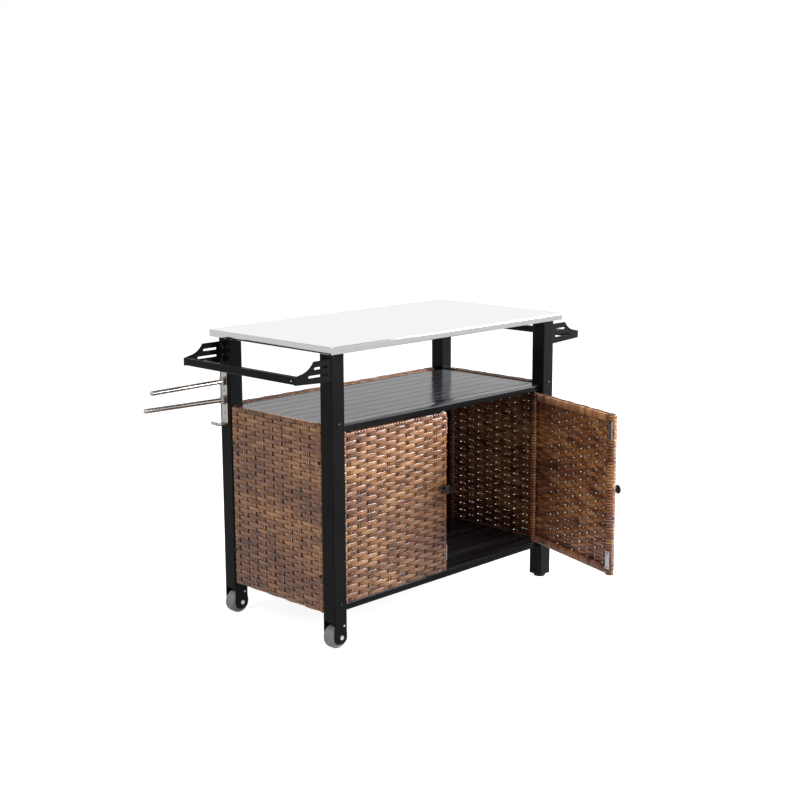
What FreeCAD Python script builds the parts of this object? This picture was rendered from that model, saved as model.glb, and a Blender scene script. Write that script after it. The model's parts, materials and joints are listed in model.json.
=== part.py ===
import FreeCAD, Part
import math
import os
import re
import Sketcher
from FreeCAD import Placement, Rotation, Vector

# A grill cart with a stainless worktop, a shelf, a wicker cabinet, two wheels and two feet.
# +X runs along the worktop to the right, +Y to the back, +Z up. The doors face -Y.
# The origin is the point of the floor under the middle of the worktop.

os.makedirs("parts", exist_ok=True)
doc = FreeCAD.newDocument("GrillCart")
sheet = doc.addObject("Spreadsheet::Sheet", "Dims")

# Driving sizes in millimetres and degrees. Every name holds an underscore.
SIZES = {
    # worktop
    "top_length": 1000,
    "top_depth": 534,
    "top_height": 870,
    "top_thick": 21,
    "top_corner": 2.5,
    "skin_thick": 1.2,
    "lip_width": 12,
    "overhang_x": 18,
    "overhang_y": 22,
    # legs and their welded top flanges
    "leg_size": 48,
    "leg_wall": 1.5,
    "leg_corner": 3,
    "flange_thick": 3,
    "flange_reach": 35,
    # shelf and cabinet floor
    "mid_shelf_top": 640,
    "floor_shelf_top": 122,
    "rail_tall": 20,
    "rail_deep": 48,
    "rail_recess": 17,
    "rail_wall": 1.5,
    "rail_corner": 2,
    "side_rail_wide": 24,
    "side_rail_gap": 2,
    "deck_thick": 1.5,
    "deck_seam": 2,
    "deck_gap": 0.5,
    "groove_pitch": 50,
    "groove_wide": 3,
    "groove_deep": 0.8,
    # wrapped wicker panels
    "panel_thick": 20,
    "panel_gap": 2,
    "panel_rise": 5,
    "border_wide": 25,
    "wrap_round": 6,
    "weave_core": 4.5,
    "weave_rib": 1.5,
    "weave_round": 4,
    "row_pitch": 12.15,
    "spacer_size": 12,
    "upper_spacer_inset": 108,
    "lower_spacer_inset": 162,
    # doors
    "door_gap": 3,
    "meet_gap": 3,
    "door_proud": 4,
    "pivot_inset": 9.5,
    "pin_size": 6,
    "pin_bite": 7,
    "fit_gap": 0.05,
    "clear_gap": 0.3,
    "washer_size": 14,
    "right_door_angle": 73.4,
    "left_door_angle": 0,
    "knob_size": 28,
    "knob_thick": 15,
    "knob_bevel": 3,
    "knob_stem": 8,
    "knob_stem_long": 7,
    "knob_level": 385,
    "knob_inset": 15,
    "strike_wide": 17,
    "strike_tall": 55,
    "strike_thick": 1.5,
    "strike_inset": 2.5,
    "strike_reach": 19,
    "catch_wide": 44,
    "catch_tall": 75,
    "catch_foot": 21,
    "catch_thick": 1.5,
    "magnet_wide": 14,
    "magnet_tall": 50,
    "magnet_thick": 4,
    # handles
    "handle_reach": 130,
    "handle_top": 834.5,
    "handle_low": 771,
    "handle_plate": 3,
    "handle_inset": 1.5,
    "handle_shoulder": 61.5,
    "handle_scoop": 66,
    "handle_scoop_end": 108.5,
    "handle_scoop_low": 804.6,
    "handle_flange": 28,
    "bar_deep": 20,
    "bar_tall": 21,
    "bar_low": 778.5,
    "bar_wall": 1.5,
    "bar_corner": 2.5,
    "slot_tall": 6.5,
    "slot_start": 11,
    "upper_slot_end": 61,
    "upper_slot_level": 815,
    "lower_slot_end": 82,
    "lower_slot_level": 794,
    # hanger with two swing arms
    "strip_wide": 27,
    "strip_thick": 3,
    "strip_top": 766,
    "hook_level": 589,
    "hook_reach": 46,
    "hook_rise": 12,
    "hook_round": 8,
    "ear_reach": 8,
    "ear_thick": 3,
    "barrel_tall": 16,
    "arm_length": 262,
    "arm_size": 13,
    "arm_bevel": 3,
    "arm_pin": 5,
    "pin_head": 8,
    "pin_head_high": 2,
    "upper_arm_level": 718,
    "lower_arm_level": 662,
    "upper_arm_angle": 2.6,
    "lower_arm_angle": -5.4,
    # wheels in the left legs
    "wheel_size": 68,
    "wheel_wide": 40,
    "wheel_bevel": 6,
    "hub_size": 32,
    "hub_boss": 16,
    "hub_dish": 3,
    "hub_proud": 0.7,
    "axle_size": 8,
    "axle_head": 13,
    "axle_head_high": 4,
    "axle_tail": 2,
    "nut_size": 13,
    "nut_high": 4,
    "cheek_low": 14,
    "cheek_round": 20,
    "fork_thick": 1.5,
    "fork_wide": 30,
    "fork_low": 18,
    # heights above the top of the wheel
    "arch_level": 11,
    "fork_top": 10,
    # feet under the right legs
    "foot_size": 38,
    "foot_tall": 10,
    "plug_tall": 14,
}

for row, (alias, number) in enumerate(SIZES.items(), 1):
    sheet.set(f"A{row}", alias)
    sheet.set(f"B{row}", str(number))
    sheet.setAlias(f"B{row}", alias)
doc.recompute()

# Places worked out from the driving sizes.
TOP_UNDER = "(top_height - top_thick)"
CORE_LOW = f"({TOP_UNDER} + skin_thick)"
OUTER_X = "(top_length / 2 - overhang_x)"
OUTER_Y = "(top_depth / 2 - overhang_y)"
LEG_X = f"({OUTER_X} - leg_size / 2)"
LEG_Y = f"({OUTER_Y} - leg_size / 2)"
INNER_X = f"({OUTER_X} - leg_size)"
INNER_Y = f"({OUTER_Y} - leg_size)"
LEG_BORE = "(leg_size / 2 - leg_wall)"
RAIL_FRONT = f"({OUTER_Y} - rail_recess)"
RAIL_BACK = f"({RAIL_FRONT} - rail_deep)"
FLOOR_LOW = "(floor_shelf_top - rail_tall)"
MID_LOW = "(mid_shelf_top - rail_tall)"
PANEL_TOP = "(mid_shelf_top + panel_rise)"
PIVOT_X = f"({INNER_X} - door_gap - pivot_inset)"
PIVOT_Y = f"({RAIL_FRONT} + door_proud - panel_thick / 2)"
DOOR_LOW = "(floor_shelf_top + door_gap)"
DOOR_TOP = f"({MID_LOW} - door_gap)"
DOOR_WIDE = f"({INNER_X} - door_gap - meet_gap / 2)"
WEAVE_THICK = "(weave_core + weave_rib)"
UPPER_STRIKE = f"({DOOR_TOP} - strike_reach - strike_tall)"
LOWER_STRIKE = f"({DOOR_LOW} + strike_reach)"
BRACKET_Y = f"({OUTER_Y} - handle_inset)"
ARM_X = f"({OUTER_X} + strip_thick + ear_reach)"
AXLE_Z = "(wheel_size / 2)"

# How near to a face, in millimetres, an edge counts as lying on it.
TOUCH = 0.01
ROLES = {"X": "YZ_Plane", "Y": "XZ_Plane", "Z": "XY_Plane"}
SOFTENED = {"Fillet": "Radius", "Chamfer": "Size"}
nodes = []


def bound(text):
    """An expression with each size name turned into a reference to its cell."""
    return re.sub(r"\b[a-z]+(?:_[a-z]+)+\b", r"Dims.\g<0>", text)


def value(text):
    """The number that an expression gives now."""
    return float(sheet.evalExpression(bound(text)))


def place(obj, at, turn=None):
    """Bind an object's position, and its turn about the Z axis, to expressions."""
    for axis, text in zip("xyz", at):
        obj.setExpression(f"Placement.Base.{axis}", bound(text))
    if turn:
        obj.Placement.Rotation = Rotation(Vector(0, 0, 1), value(turn))
        obj.setExpression("Placement.Rotation.Angle", bound(turn))


def node(obj):
    """Keep a finished sub-part for the export."""
    nodes.append(obj)
    return obj


def make_body(name, at=("0", "0", "0"), turn=None):
    """An empty body at its place."""
    made = doc.addObject("PartDesign::Body", name)
    made.Label = name
    place(made, at, turn)
    return made


def sketch(body, normal, level="0", shift=("0", "0")):
    """A sketch square to a body axis, at a level along that axis."""
    made = body.newObject("Sketcher::SketchObject", body.Name + "_sketch")
    role = ROLES[normal]
    origin_plane = next(f for f in body.Origin.OriginFeatures if f.Role == role)
    made.AttachmentSupport = [(origin_plane, "")]
    made.MapMode = "FlatFace"
    flip = "-1 * " if normal == "Y" else ""
    made.setExpression("AttachmentOffset.Base.x", bound(shift[0]))
    made.setExpression("AttachmentOffset.Base.y", bound(shift[1]))
    made.setExpression("AttachmentOffset.Base.z", bound(f"{flip}({level})"))
    return made


def hold(sk, curve, end, x, y):
    """Hold a point of a sketch at two bound distances from its origin."""
    for kind, text in (("DistanceX", x), ("DistanceY", y)):
        made = sk.addConstraint(Sketcher.Constraint(kind, -1, 1, curve, end, value(text)))
        sk.setExpression(f"Constraints[{made}]", bound(text))


def outline(sk, points):
    """A closed outline. A point is (x, y), or (x, y, radius) where an arc leads on to the next.

    The arc's middle lies to the left of the way to the next point, or to the right
    where the radius has a minus sign.
    """
    first = sk.GeometryCount
    places = [Vector(value(p[0]), value(p[1]), 0) for p in points]
    count = len(points)
    ends = []
    for number, point in enumerate(points):
        start = places[number]
        stop = places[(number + 1) % count]
        if len(point) == 2:
            sk.addGeometry(Part.LineSegment(start, stop), False)
            ends.append((1, 2))
            continue
        side = -1 if point[2].startswith("-") else 1
        radius = value(point[2].lstrip("-"))
        chord = stop - start
        half = chord.Length / 2
        left = Vector(-chord.y, chord.x, 0).normalize() * side
        middle = (start + stop) / 2 + left * (max(radius ** 2 - half ** 2, 0)) ** 0.5
        circle = Part.Circle(middle, Vector(0, 0, 1), radius)
        first_end, last_end = (start, stop) if side > 0 else (stop, start)
        from_angle = circle.parameter(first_end)
        sweep = (circle.parameter(last_end) - from_angle) % (2 * math.pi)
        sk.addGeometry(Part.ArcOfCircle(circle, from_angle, from_angle + sweep), False)
        ends.append((1, 2) if side > 0 else (2, 1))
    for number in range(count):
        after = (number + 1) % count
        stop_end = ends[number][1]
        start_end = ends[after][0]
        joint = Sketcher.Constraint("Coincident", first + number, stop_end, first + after, start_end)
        sk.addConstraint(joint)
    for number, point in enumerate(points):
        hold(sk, first + number, ends[number][0], point[0], point[1])
        if len(point) == 3:
            bind_arc(sk, first + number, places[(number + 1) % count] - places[number], point)


def bind_arc(sk, curve, chord, point):
    """Bind an arc's radius, or its middle where it is a half circle on an upright or level chord."""
    text = point[2].lstrip("-")
    if value(text) - chord.Length / 2 > 1e-6:
        rule = Sketcher.Constraint("Radius", curve, value(text))
    elif abs(chord.x) < abs(chord.y):
        text = point[0]
        rule = Sketcher.Constraint("DistanceX", -1, 1, curve, 3, value(text))
    else:
        text = point[1]
        rule = Sketcher.Constraint("DistanceY", -1, 1, curve, 3, value(text))
    made = sk.addConstraint(rule)
    sk.setExpression(f"Constraints[{made}]", bound(text))


def rectangle(sk, low_x, high_x, low_y, high_y):
    """A rectangle between bound limits."""
    outline(sk, [(low_x, low_y), (high_x, low_y), (high_x, high_y), (low_x, high_y)])


def ring(sk, x, y, radius):
    """A circle about a bound middle."""
    middle = Vector(value(x), value(y), 0)
    curve = sk.addGeometry(Part.Circle(middle, Vector(0, 0, 1), value(radius)), False)
    hold(sk, curve, 3, x, y)
    made = sk.addConstraint(Sketcher.Constraint("Radius", curve, value(radius)))
    sk.setExpression(f"Constraints[{made}]", bound(radius))


def slot(sk, low_x, high_x, level, tall):
    """A slot with round ends that lies along the sketch's X axis."""
    half = f"({tall}) / 2"
    low_y = f"({level}) - {half}"
    high_y = f"({level}) + {half}"
    from_x = f"({low_x}) + {half}"
    to_x = f"({high_x}) - {half}"
    outline(sk, [(from_x, low_y), (to_x, low_y, half), (to_x, high_y), (from_x, high_y, half)])


def pad(body, sk, normal, length):
    """Add the sketch's area, drawn out along the axis towards plus."""
    made = body.newObject("PartDesign::Pad", body.Name + "_pad")
    made.Profile = sk
    made.setExpression("Length", bound(length))
    made.Reversed = normal == "Y"
    doc.recompute()
    return made


def pocket(body, sk, normal, length):
    """Cut the sketch's area, drawn out along the axis towards plus, and see that it cut."""
    before = body.Shape.Volume
    made = body.newObject("PartDesign::Pocket", body.Name + "_pocket")
    made.Profile = sk
    made.setExpression("Length", bound(length))
    made.Reversed = normal != "Y"
    doc.recompute()
    if body.Shape.Volume > before - 1e-3:
        raise RuntimeError(f"{made.Name} cuts nothing")
    return made


def turned(body, sk):
    """Turn a profile about the sketch's own Y axis."""
    made = body.newObject("PartDesign::Revolution", body.Name + "_turned")
    made.Profile = sk
    made.ReferenceAxis = (sk, ["V_Axis"])
    made.Angle = 360
    doc.recompute()
    return made


def soften(body, wanted, size, kind="Fillet"):
    """Round or bevel the edges of the body's last feature that a test picks."""
    base = body.Tip
    names = [f"Edge{i}" for i, edge in enumerate(base.Shape.Edges, 1) if wanted(edge)]
    made = body.newObject(f"PartDesign::{kind}", body.Name + "_edges")
    made.Base = (base, names)
    made.setExpression(SOFTENED[kind], bound(size))
    doc.recompute()
    return made


def runs_along(edge, axis):
    """Is this a straight edge along X, Y or Z?"""
    if edge.Curve.TypeId != "Part::GeomLine":
        return False
    return abs(getattr(edge.Curve.Direction, axis)) > 0.999


def box(name, low, high):
    """A block between two bound corners."""
    made = doc.addObject("Part::Box", name)
    made.Label = name
    for side, start, stop in zip(("Length", "Width", "Height"), low, high):
        made.setExpression(side, bound(f"({stop}) - ({start})"))
    place(made, low)
    return made


def cylinder(name, at, along, radius, length):
    """A round bar that starts at a point and runs along an axis."""
    made = doc.addObject("Part::Cylinder", name)
    made.Label = name
    made.Placement = Placement(Vector(), Rotation(Vector(0, 0, 1), along))
    made.setExpression("Radius", bound(radius))
    made.setExpression("Height", bound(length))
    place(made, at)
    return made


def headed(name, at, along, shank, bite, head, head_high):
    """A screw or bolt: its shank runs from a seat along an axis, its head the other way."""
    back = along * -1
    stem = cylinder(name + "_shank", at, along, f"({shank}) / 2", bite)
    cap = cylinder(name + "_head", at, back, f"({head}) / 2", head_high)
    made = doc.addObject("Part::MultiFuse", name)
    made.Shapes = [stem, cap]
    return made


def group(name, parts):
    """Separate pieces of one kind in one node."""
    made = doc.addObject("Part::Compound", name)
    made.Label = name
    made.Links = parts
    return node(made)


def make_worktop():
    """A folded skin with returned lips, filled by a board."""
    skin = make_body("worktop_skin", ("0", "0", TOP_UNDER))
    half_x = "top_length / 2"
    half_y = "top_depth / 2"
    whole = sketch(skin, "Z")
    rectangle(whole, f"-{half_x}", half_x, f"-{half_y}", half_y)
    pad(skin, whole, "Z", "top_thick")
    soften(skin, lambda edge: runs_along(edge, "z"), "top_corner")
    hollow = sketch(skin, "Z", "skin_thick")
    in_x = f"({half_x} - skin_thick)"
    in_y = f"({half_y} - skin_thick)"
    rectangle(hollow, f"-{in_x}", in_x, f"-{in_y}", in_y)
    pocket(skin, hollow, "Z", "top_thick - 2 * skin_thick")
    mouth = sketch(skin, "Z")
    lip_x = f"({half_x} - lip_width)"
    lip_y = f"({half_y} - lip_width)"
    rectangle(mouth, f"-{lip_x}", lip_x, f"-{lip_y}", lip_y)
    pocket(skin, mouth, "Z", "skin_thick")
    node(skin)
    core = make_body("worktop_core", ("0", "0", CORE_LOW))
    board = sketch(core, "Z")
    rectangle(board, f"-{in_x}", in_x, f"-{in_y}", in_y)
    pad(core, board, "Z", f"top_height - skin_thick - {CORE_LOW}")
    node(core)


CORNERS = [(-1, -1), (-1, 1), (1, -1), (1, 1)]


def make_leg(name, side_x, side_y, bottom):
    """A square tube with a welded flange on top; the bottom stays for the wheel or the foot."""
    leg = make_body(name, (f"{side_x} * {LEG_X}", f"{side_y} * {LEG_Y}", "0"))
    tube = sketch(leg, "Z", bottom)
    half = "leg_size / 2"
    rectangle(tube, f"-{half}", half, f"-{half}", half)
    rectangle(tube, f"-{LEG_BORE}", LEG_BORE, f"-{LEG_BORE}", LEG_BORE)
    pad(leg, tube, "Z", f"{CORE_LOW} - flange_thick - ({bottom})")
    outside = value(half) - TOUCH
    soften(leg, lambda edge: runs_along(edge, "z") and abs(edge.CenterOfMass.x) > outside, "leg_corner")
    flange = sketch(leg, "Z", f"{CORE_LOW} - flange_thick")
    far = "(leg_size / 2 + flange_reach)"
    corners = [
        (f"{side_x} * {half}", f"{side_y} * {half}"),
        (f"{-side_x} * {far}", f"{side_y} * {half}"),
        (f"{-side_x} * {far}", f"{-side_y} * {half}"),
        (f"{-side_x} * {half}", f"{-side_y} * {far}"),
        (f"{side_x} * {half}", f"{-side_y} * {far}"),
    ]
    outline(flange, corners)
    pad(leg, flange, "Z", "flange_thick")
    return node(leg)


def open_for_wheel(leg):
    """Cut the side walls away, round the cheeks and bore them for the axle."""
    arch = sketch(leg, "X", "-1 * leg_size")
    rectangle(arch, f"-{LEG_BORE}", LEG_BORE, "0", "wheel_size + arch_level")
    pocket(leg, arch, "X", "2 * leg_size")
    half = "(leg_size / 2)"
    flat = "(leg_size / 2 - cheek_round)"
    spring = "(cheek_low + cheek_round)"
    wide = "leg_size"
    under = sketch(leg, "Y", "-1 * leg_size")
    corners = [
        (f"-{wide}", "0"),
        (wide, "0"),
        (wide, spring),
        (half, spring, "-cheek_round"),
        (flat, "cheek_low"),
        (f"-{flat}", "cheek_low", "-cheek_round"),
        (f"-{half}", spring),
        (f"-{wide}", spring),
    ]
    outline(under, corners)
    pocket(leg, under, "Y", "2 * leg_size")
    axle = sketch(leg, "Y", "-1 * leg_size")
    ring(axle, "0", AXLE_Z, "axle_size / 2 + fit_gap")
    pocket(leg, axle, "Y", "2 * leg_size")


def make_legs():
    """Two wheel legs on the left, two foot legs on the right."""
    for name, side_y in (("front", -1), ("rear", 1)):
        open_for_wheel(make_leg(f"leg_{name}_left", -1, side_y, "cheek_low"))
        make_leg(f"leg_{name}_right", 1, side_y, "foot_tall")
        make_foot(f"{name}_foot", side_y)


def make_foot(name, side_y):
    """A round glide with a square plug that fills the tube's end."""
    foot = make_body(name, (LEG_X, f"{side_y} * {LEG_Y}", "0"))
    disc = sketch(foot, "Z")
    ring(disc, "0", "0", "foot_size / 2")
    pad(foot, disc, "Z", "foot_tall")
    plug = sketch(foot, "Z", "foot_tall")
    rectangle(plug, f"-{LEG_BORE}", LEG_BORE, f"-{LEG_BORE}", LEG_BORE)
    pad(foot, plug, "Z", "plug_tall")
    return node(foot)


def make_front_rail(name, low, pin_wall):
    """A rectangular tube between the front legs, with a hole for each door's pin in one wall."""
    rail = make_body(name, (f"-{INNER_X}", f"-{RAIL_FRONT}", low))
    section = sketch(rail, "X")
    rectangle(section, "0", "rail_deep", "0", "rail_tall")
    rectangle(section, "rail_wall", "rail_deep - rail_wall", "rail_wall", "rail_tall - rail_wall")
    pad(rail, section, "X", f"2 * {INNER_X}")
    deep = value("rail_deep")
    tall = value("rail_tall")
    outside = lambda edge: (runs_along(edge, "x")
                            and min(edge.CenterOfMass.y, deep - edge.CenterOfMass.y) < TOUCH
                            and min(edge.CenterOfMass.z, tall - edge.CenterOfMass.z) < TOUCH)
    soften(rail, outside, "rail_corner", "Chamfer")
    pins = sketch(rail, "Z", pin_wall)
    for side in (-1, 1):
        ring(pins, f"{INNER_X} + {side} * {PIVOT_X}", f"{RAIL_FRONT} - {PIVOT_Y}", "pin_size / 2 + fit_gap")
    pocket(rail, pins, "Z", "rail_wall")
    return node(rail)


def make_side_rail(name, side, low):
    """A tube between the legs of one side, under the deck."""
    inner = f"({INNER_X} + side_rail_gap)"
    outer = f"({inner} + side_rail_wide)"
    limits = (inner, outer) if side > 0 else (f"-{outer}", f"-{inner}")
    rail = make_body(name, ("0", f"-{INNER_Y}", low))
    section = sketch(rail, "Y")
    tall = "(rail_tall - deck_thick)"
    low_x, high_x = limits
    rectangle(section, low_x, high_x, "0", tall)
    rectangle(section, f"{low_x} + rail_wall", f"{high_x} - rail_wall", "rail_wall", f"{tall} - rail_wall")
    pad(rail, section, "Y", f"2 * {INNER_Y}")
    return node(rail)


def make_deck(name, low):
    """A sheet notched round the legs, with front and rear flanges and pressed grooves."""
    deck = make_body(name, ("0", "0", low))
    edge_x = f"({OUTER_X} - panel_thick - 2 * deck_gap)"
    leg_x = f"({INNER_X} - deck_gap)"
    wing_x = f"({INNER_X} + deck_gap)"
    front = f"({RAIL_BACK} - deck_seam)"
    wing = f"({INNER_Y} - deck_gap)"
    back = f"({OUTER_Y} - panel_thick - 2 * deck_gap)"
    sheet_low = "rail_tall - deck_thick"
    right = [
        (leg_x, back),
        (leg_x, wing),
        (edge_x, wing),
        (edge_x, f"-{wing}"),
        (wing_x, f"-{wing}"),
        (wing_x, f"-{front}"),
    ]
    left = [(f"-{x}", y) for x, y in reversed(right)]
    plate = sketch(deck, "Z", sheet_low)
    outline(plate, right + left)
    pad(deck, plate, "Z", "deck_thick")
    for start in (f"-{front}", f"{back} - deck_thick"):
        flange = sketch(deck, "Z")
        rectangle(flange, f"-{leg_x}", leg_x, start, f"{start} + deck_thick")
        pad(deck, flange, "Z", sheet_low)
    groove = sketch(deck, "Z", "rail_tall - groove_deep")
    first = f"(-{front} + groove_pitch)"
    rectangle(groove, f"-{leg_x}", leg_x, f"{first} - groove_wide / 2", f"{first} + groove_wide / 2")
    cut = pocket(deck, groove, "Z", "groove_deep")
    rows = f"floor(({back} + {front} - groove_wide) / groove_pitch)"
    repeat(deck, cut, groove, f"({rows} - 1) * groove_pitch", rows)
    return node(deck)


def repeat(body, feature, sk, length, count):
    """Repeat a feature along its sketch's Y axis."""
    made = body.newObject("PartDesign::LinearPattern", body.Name + "_pattern")
    made.Originals = [feature]
    made.Direction = (sk, ["V_Axis"])
    made.setExpression("Length", bound(length))
    made.setExpression("Occurrences", bound(count))
    body.Tip = made
    doc.recompute()
    return made


def make_shelves():
    """The shelf and the cabinet floor are the same four pieces."""
    for name, top, pin_wall in (("mid", "mid_shelf_top", "0"),
                                ("floor", "floor_shelf_top", "rail_tall - rail_wall")):
        low = f"{top} - rail_tall"
        make_front_rail(f"{name}_front_rail", low, pin_wall)
        make_side_rail(f"{name}_left_rail", -1, low)
        make_side_rail(f"{name}_right_rail", 1, low)
        make_deck(f"{name}_deck", low)


def wrapped_frame(name, at, turn, front, limits):
    """A wicker-wrapped frame behind a woven skin, with the edges of its inner side rounded."""
    low_x, high_x, low_z, high_z = limits
    frame = make_body(name, at, turn)
    face = sketch(frame, "Y", f"{front} + {WEAVE_THICK}")
    rectangle(face, low_x, high_x, low_z, high_z)
    rectangle(face, f"{low_x} + border_wide", f"{high_x} - border_wide",
              f"{low_z} + border_wide", f"{high_z} - border_wide")
    pad(frame, face, "Y", f"panel_thick - {WEAVE_THICK}")
    inner_side = value(f"{front} + panel_thick") - TOUCH
    soften(frame, lambda edge: edge.CenterOfMass.y > inner_side, "wrap_round")
    return frame


def woven_skin(name, at, turn, front, limits):
    """The skin that is woven over the whole of a frame's outer side, with a rib for every row."""
    low_x, high_x, low_z, high_z = limits
    skin = make_body(name, at, turn)
    wide = f"({high_x} - ({low_x}))"
    tall = f"({high_z} - {low_z})"
    crest = front
    root = f"{front} + weave_rib"
    section = sketch(skin, "X", low_x)
    rectangle(section, root, f"{front} + {WEAVE_THICK}", low_z, high_z)
    pad(skin, section, "X", wide)
    front_face = value(root) + TOUCH
    soften(skin, lambda edge: runs_along(edge, "z") and edge.CenterOfMass.y < front_face, "weave_round")
    count = f"floor({tall} / row_pitch)"
    lead = f"({low_z} + ({tall} - {count} * row_pitch) / 2)"
    ribs = sketch(skin, "X", f"{low_x} + wrap_round")
    outline(ribs, [
        (root, lead),
        (crest, f"{lead} + row_pitch / 2"),
        (root, f"{lead} + row_pitch"),
    ])
    rib = pad(skin, ribs, "X", f"{wide} - 2 * wrap_round")
    repeat(skin, rib, ribs, f"({count} - 1) * row_pitch", count)
    return node(skin)


def make_panels():
    """The fixed panels at the left, the right and the rear, held by spacers in their gaps."""
    side_half = f"({INNER_Y} - panel_gap)"
    rear_half = f"({INNER_X} - panel_gap)"
    panels = [
        ("left_panel", (f"-{OUTER_X}", "0", "0"), "-90", side_half),
        ("right_panel", (OUTER_X, "0", "0"), "90", side_half),
        ("rear_panel", ("0", OUTER_Y, "0"), "180", rear_half),
    ]
    for name, at, turn, half in panels:
        limits = (f"-{half}", half, FLOOR_LOW, PANEL_TOP)
        node(wrapped_frame(f"{name}_frame", at, turn, "0", limits))
        woven_skin(f"{name}_weave", at, turn, "0", limits)
    blocks = []
    near = "(panel_thick - spacer_size) / 2"
    for level in (f"{PANEL_TOP} - upper_spacer_inset", f"{FLOOR_LOW} + lower_spacer_inset"):
        for side_x, side_y in CORNERS:
            middle = f"{side_x} * ({OUTER_X} - panel_thick / 2)"
            gap = (side_half, INNER_Y) if side_y > 0 else (f"-{INNER_Y}", f"-{side_half}")
            blocks.append(box("side_spacer", (f"{middle} - spacer_size / 2", gap[0], level),
                              (f"{middle} + spacer_size / 2", gap[1], f"{level} + spacer_size")))
        for side_x in (-1, 1):
            gap = (rear_half, INNER_X) if side_x > 0 else (f"-{INNER_X}", f"-{rear_half}")
            back = f"({OUTER_Y} - {near})"
            blocks.append(box("rear_spacer", (gap[0], f"{back} - spacer_size", level),
                              (gap[1], back, f"{level} + spacer_size")))
    group("panel_spacers", blocks)


def make_door(name, side, angle):
    """A wrapped door on two pins, with its skin, knob and strike plates, turned open by an angle."""
    at = (f"{side} * {PIVOT_X}", f"-{PIVOT_Y}", "0")
    turn = f"{side} * {angle}"
    reach = f"({DOOR_WIDE} - pivot_inset)"
    ends = ("-pivot_inset", reach) if side < 0 else (f"-{reach}", "pivot_inset")
    limits = (*ends, DOOR_LOW, DOOR_TOP)
    half = "panel_thick / 2"
    front = f"-1 * {half}"
    frame = wrapped_frame(f"{name}_frame", at, turn, front, limits)
    pin_long = "(door_gap + rail_wall + pin_bite)"
    for low in (f"{DOOR_LOW} - {pin_long}", f"{DOOR_TOP} - border_wide / 2"):
        pin = sketch(frame, "Z", low)
        ring(pin, "0", "0", "pin_size / 2")
        pad(frame, pin, "Z", f"{pin_long} + border_wide / 2")
    node(frame)
    woven_skin(f"{name}_weave", at, turn, front, limits)
    make_knob(f"{name}_knob", at, turn, f"{-side} * ({reach} - knob_inset)")
    plates = []
    outer = f"({reach} - strike_inset)"
    inner = f"({outer} - strike_wide)"
    start = inner if side < 0 else f"-{outer}"
    for low in (UPPER_STRIKE, LOWER_STRIKE):
        plate = box("strike", (start, half, low),
                    (f"{start} + strike_wide", f"{half} + strike_thick", f"{low} + strike_tall"))
        plates.append(plate)
    strikes = group(f"{name}_strikes", plates)
    place(strikes, at, turn)


def make_knob(name, at, turn, x):
    """A turned knob: a stem on the door's face and a rounded head."""
    knob = make_body(name, at, turn)
    profile = sketch(knob, "Z", "knob_level", (x, "-1 * panel_thick / 2"))
    face = "(knob_stem_long + knob_thick)"
    outline(profile, [
        ("0", "0"),
        ("knob_stem / 2", "0"),
        ("knob_stem / 2", "-knob_stem_long"),
        ("knob_size / 2", "-knob_stem_long"),
        ("knob_size / 2", f"-{face} + knob_bevel"),
        ("knob_size / 2 - knob_bevel", f"-{face}"),
        ("0", f"-{face}"),
    ])
    turned(knob, profile)
    return node(knob)


def make_doors():
    """Two doors that meet in the middle, the washers under them, and the catches."""
    make_door("left_door", -1, "left_door_angle")
    make_door("right_door", 1, "right_door_angle")
    washers = []
    for side in (-1, 1):
        washer = make_body("hinge_washer", (f"{side} * {PIVOT_X}", f"-{PIVOT_Y}", "floor_shelf_top"))
        disc = sketch(washer, "Z")
        ring(disc, "0", "0", "washer_size / 2")
        ring(disc, "0", "0", "pin_size / 2 + fit_gap")
        pad(washer, disc, "Z", "door_gap - clear_gap")
        washers.append(washer)
    group("hinge_washers", washers)
    face = f"({PIVOT_Y} - panel_thick / 2 - strike_thick - clear_gap)"
    upper = f"{UPPER_STRIKE} + (strike_tall - magnet_tall) / 2"
    lower = f"{LOWER_STRIKE} + (strike_tall - magnet_tall) / 2"
    make_catch("upper", MID_LOW, -1, face, upper)
    make_catch("lower", "floor_shelf_top", 1, face, lower)


def make_catch(name, seat, up, face, magnet_low):
    """An angle bracket on a front rail that carries one magnet for each door."""
    plate = f"({face} - magnet_thick)"
    bracket = make_body(f"{name}_catch", ("0", "0", seat))
    section = sketch(bracket, "X", "-1 * catch_wide / 2")
    outline(section, [
        (f"-{plate}", "0"),
        (f"-{plate} + catch_foot", "0"),
        (f"-{plate} + catch_foot", f"{up} * catch_thick"),
        (f"-{plate} + catch_thick", f"{up} * catch_thick"),
        (f"-{plate} + catch_thick", f"{up} * catch_tall"),
        (f"-{plate}", f"{up} * catch_tall"),
    ])
    pad(bracket, section, "X", "catch_wide")
    node(bracket)
    blocks = []
    inset = "(meet_gap / 2 + strike_inset + (strike_wide - magnet_wide) / 2)"
    for side in (-1, 1):
        middle = f"{side} * ({inset} + magnet_wide / 2)"
        low = (f"{middle} - magnet_wide / 2", f"-{face}", magnet_low)
        high = (f"{middle} + magnet_wide / 2", f"-{plate}", f"{magnet_low} + magnet_tall")
        blocks.append(box("magnet", low, high))
    group(f"{name}_magnets", blocks)


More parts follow.
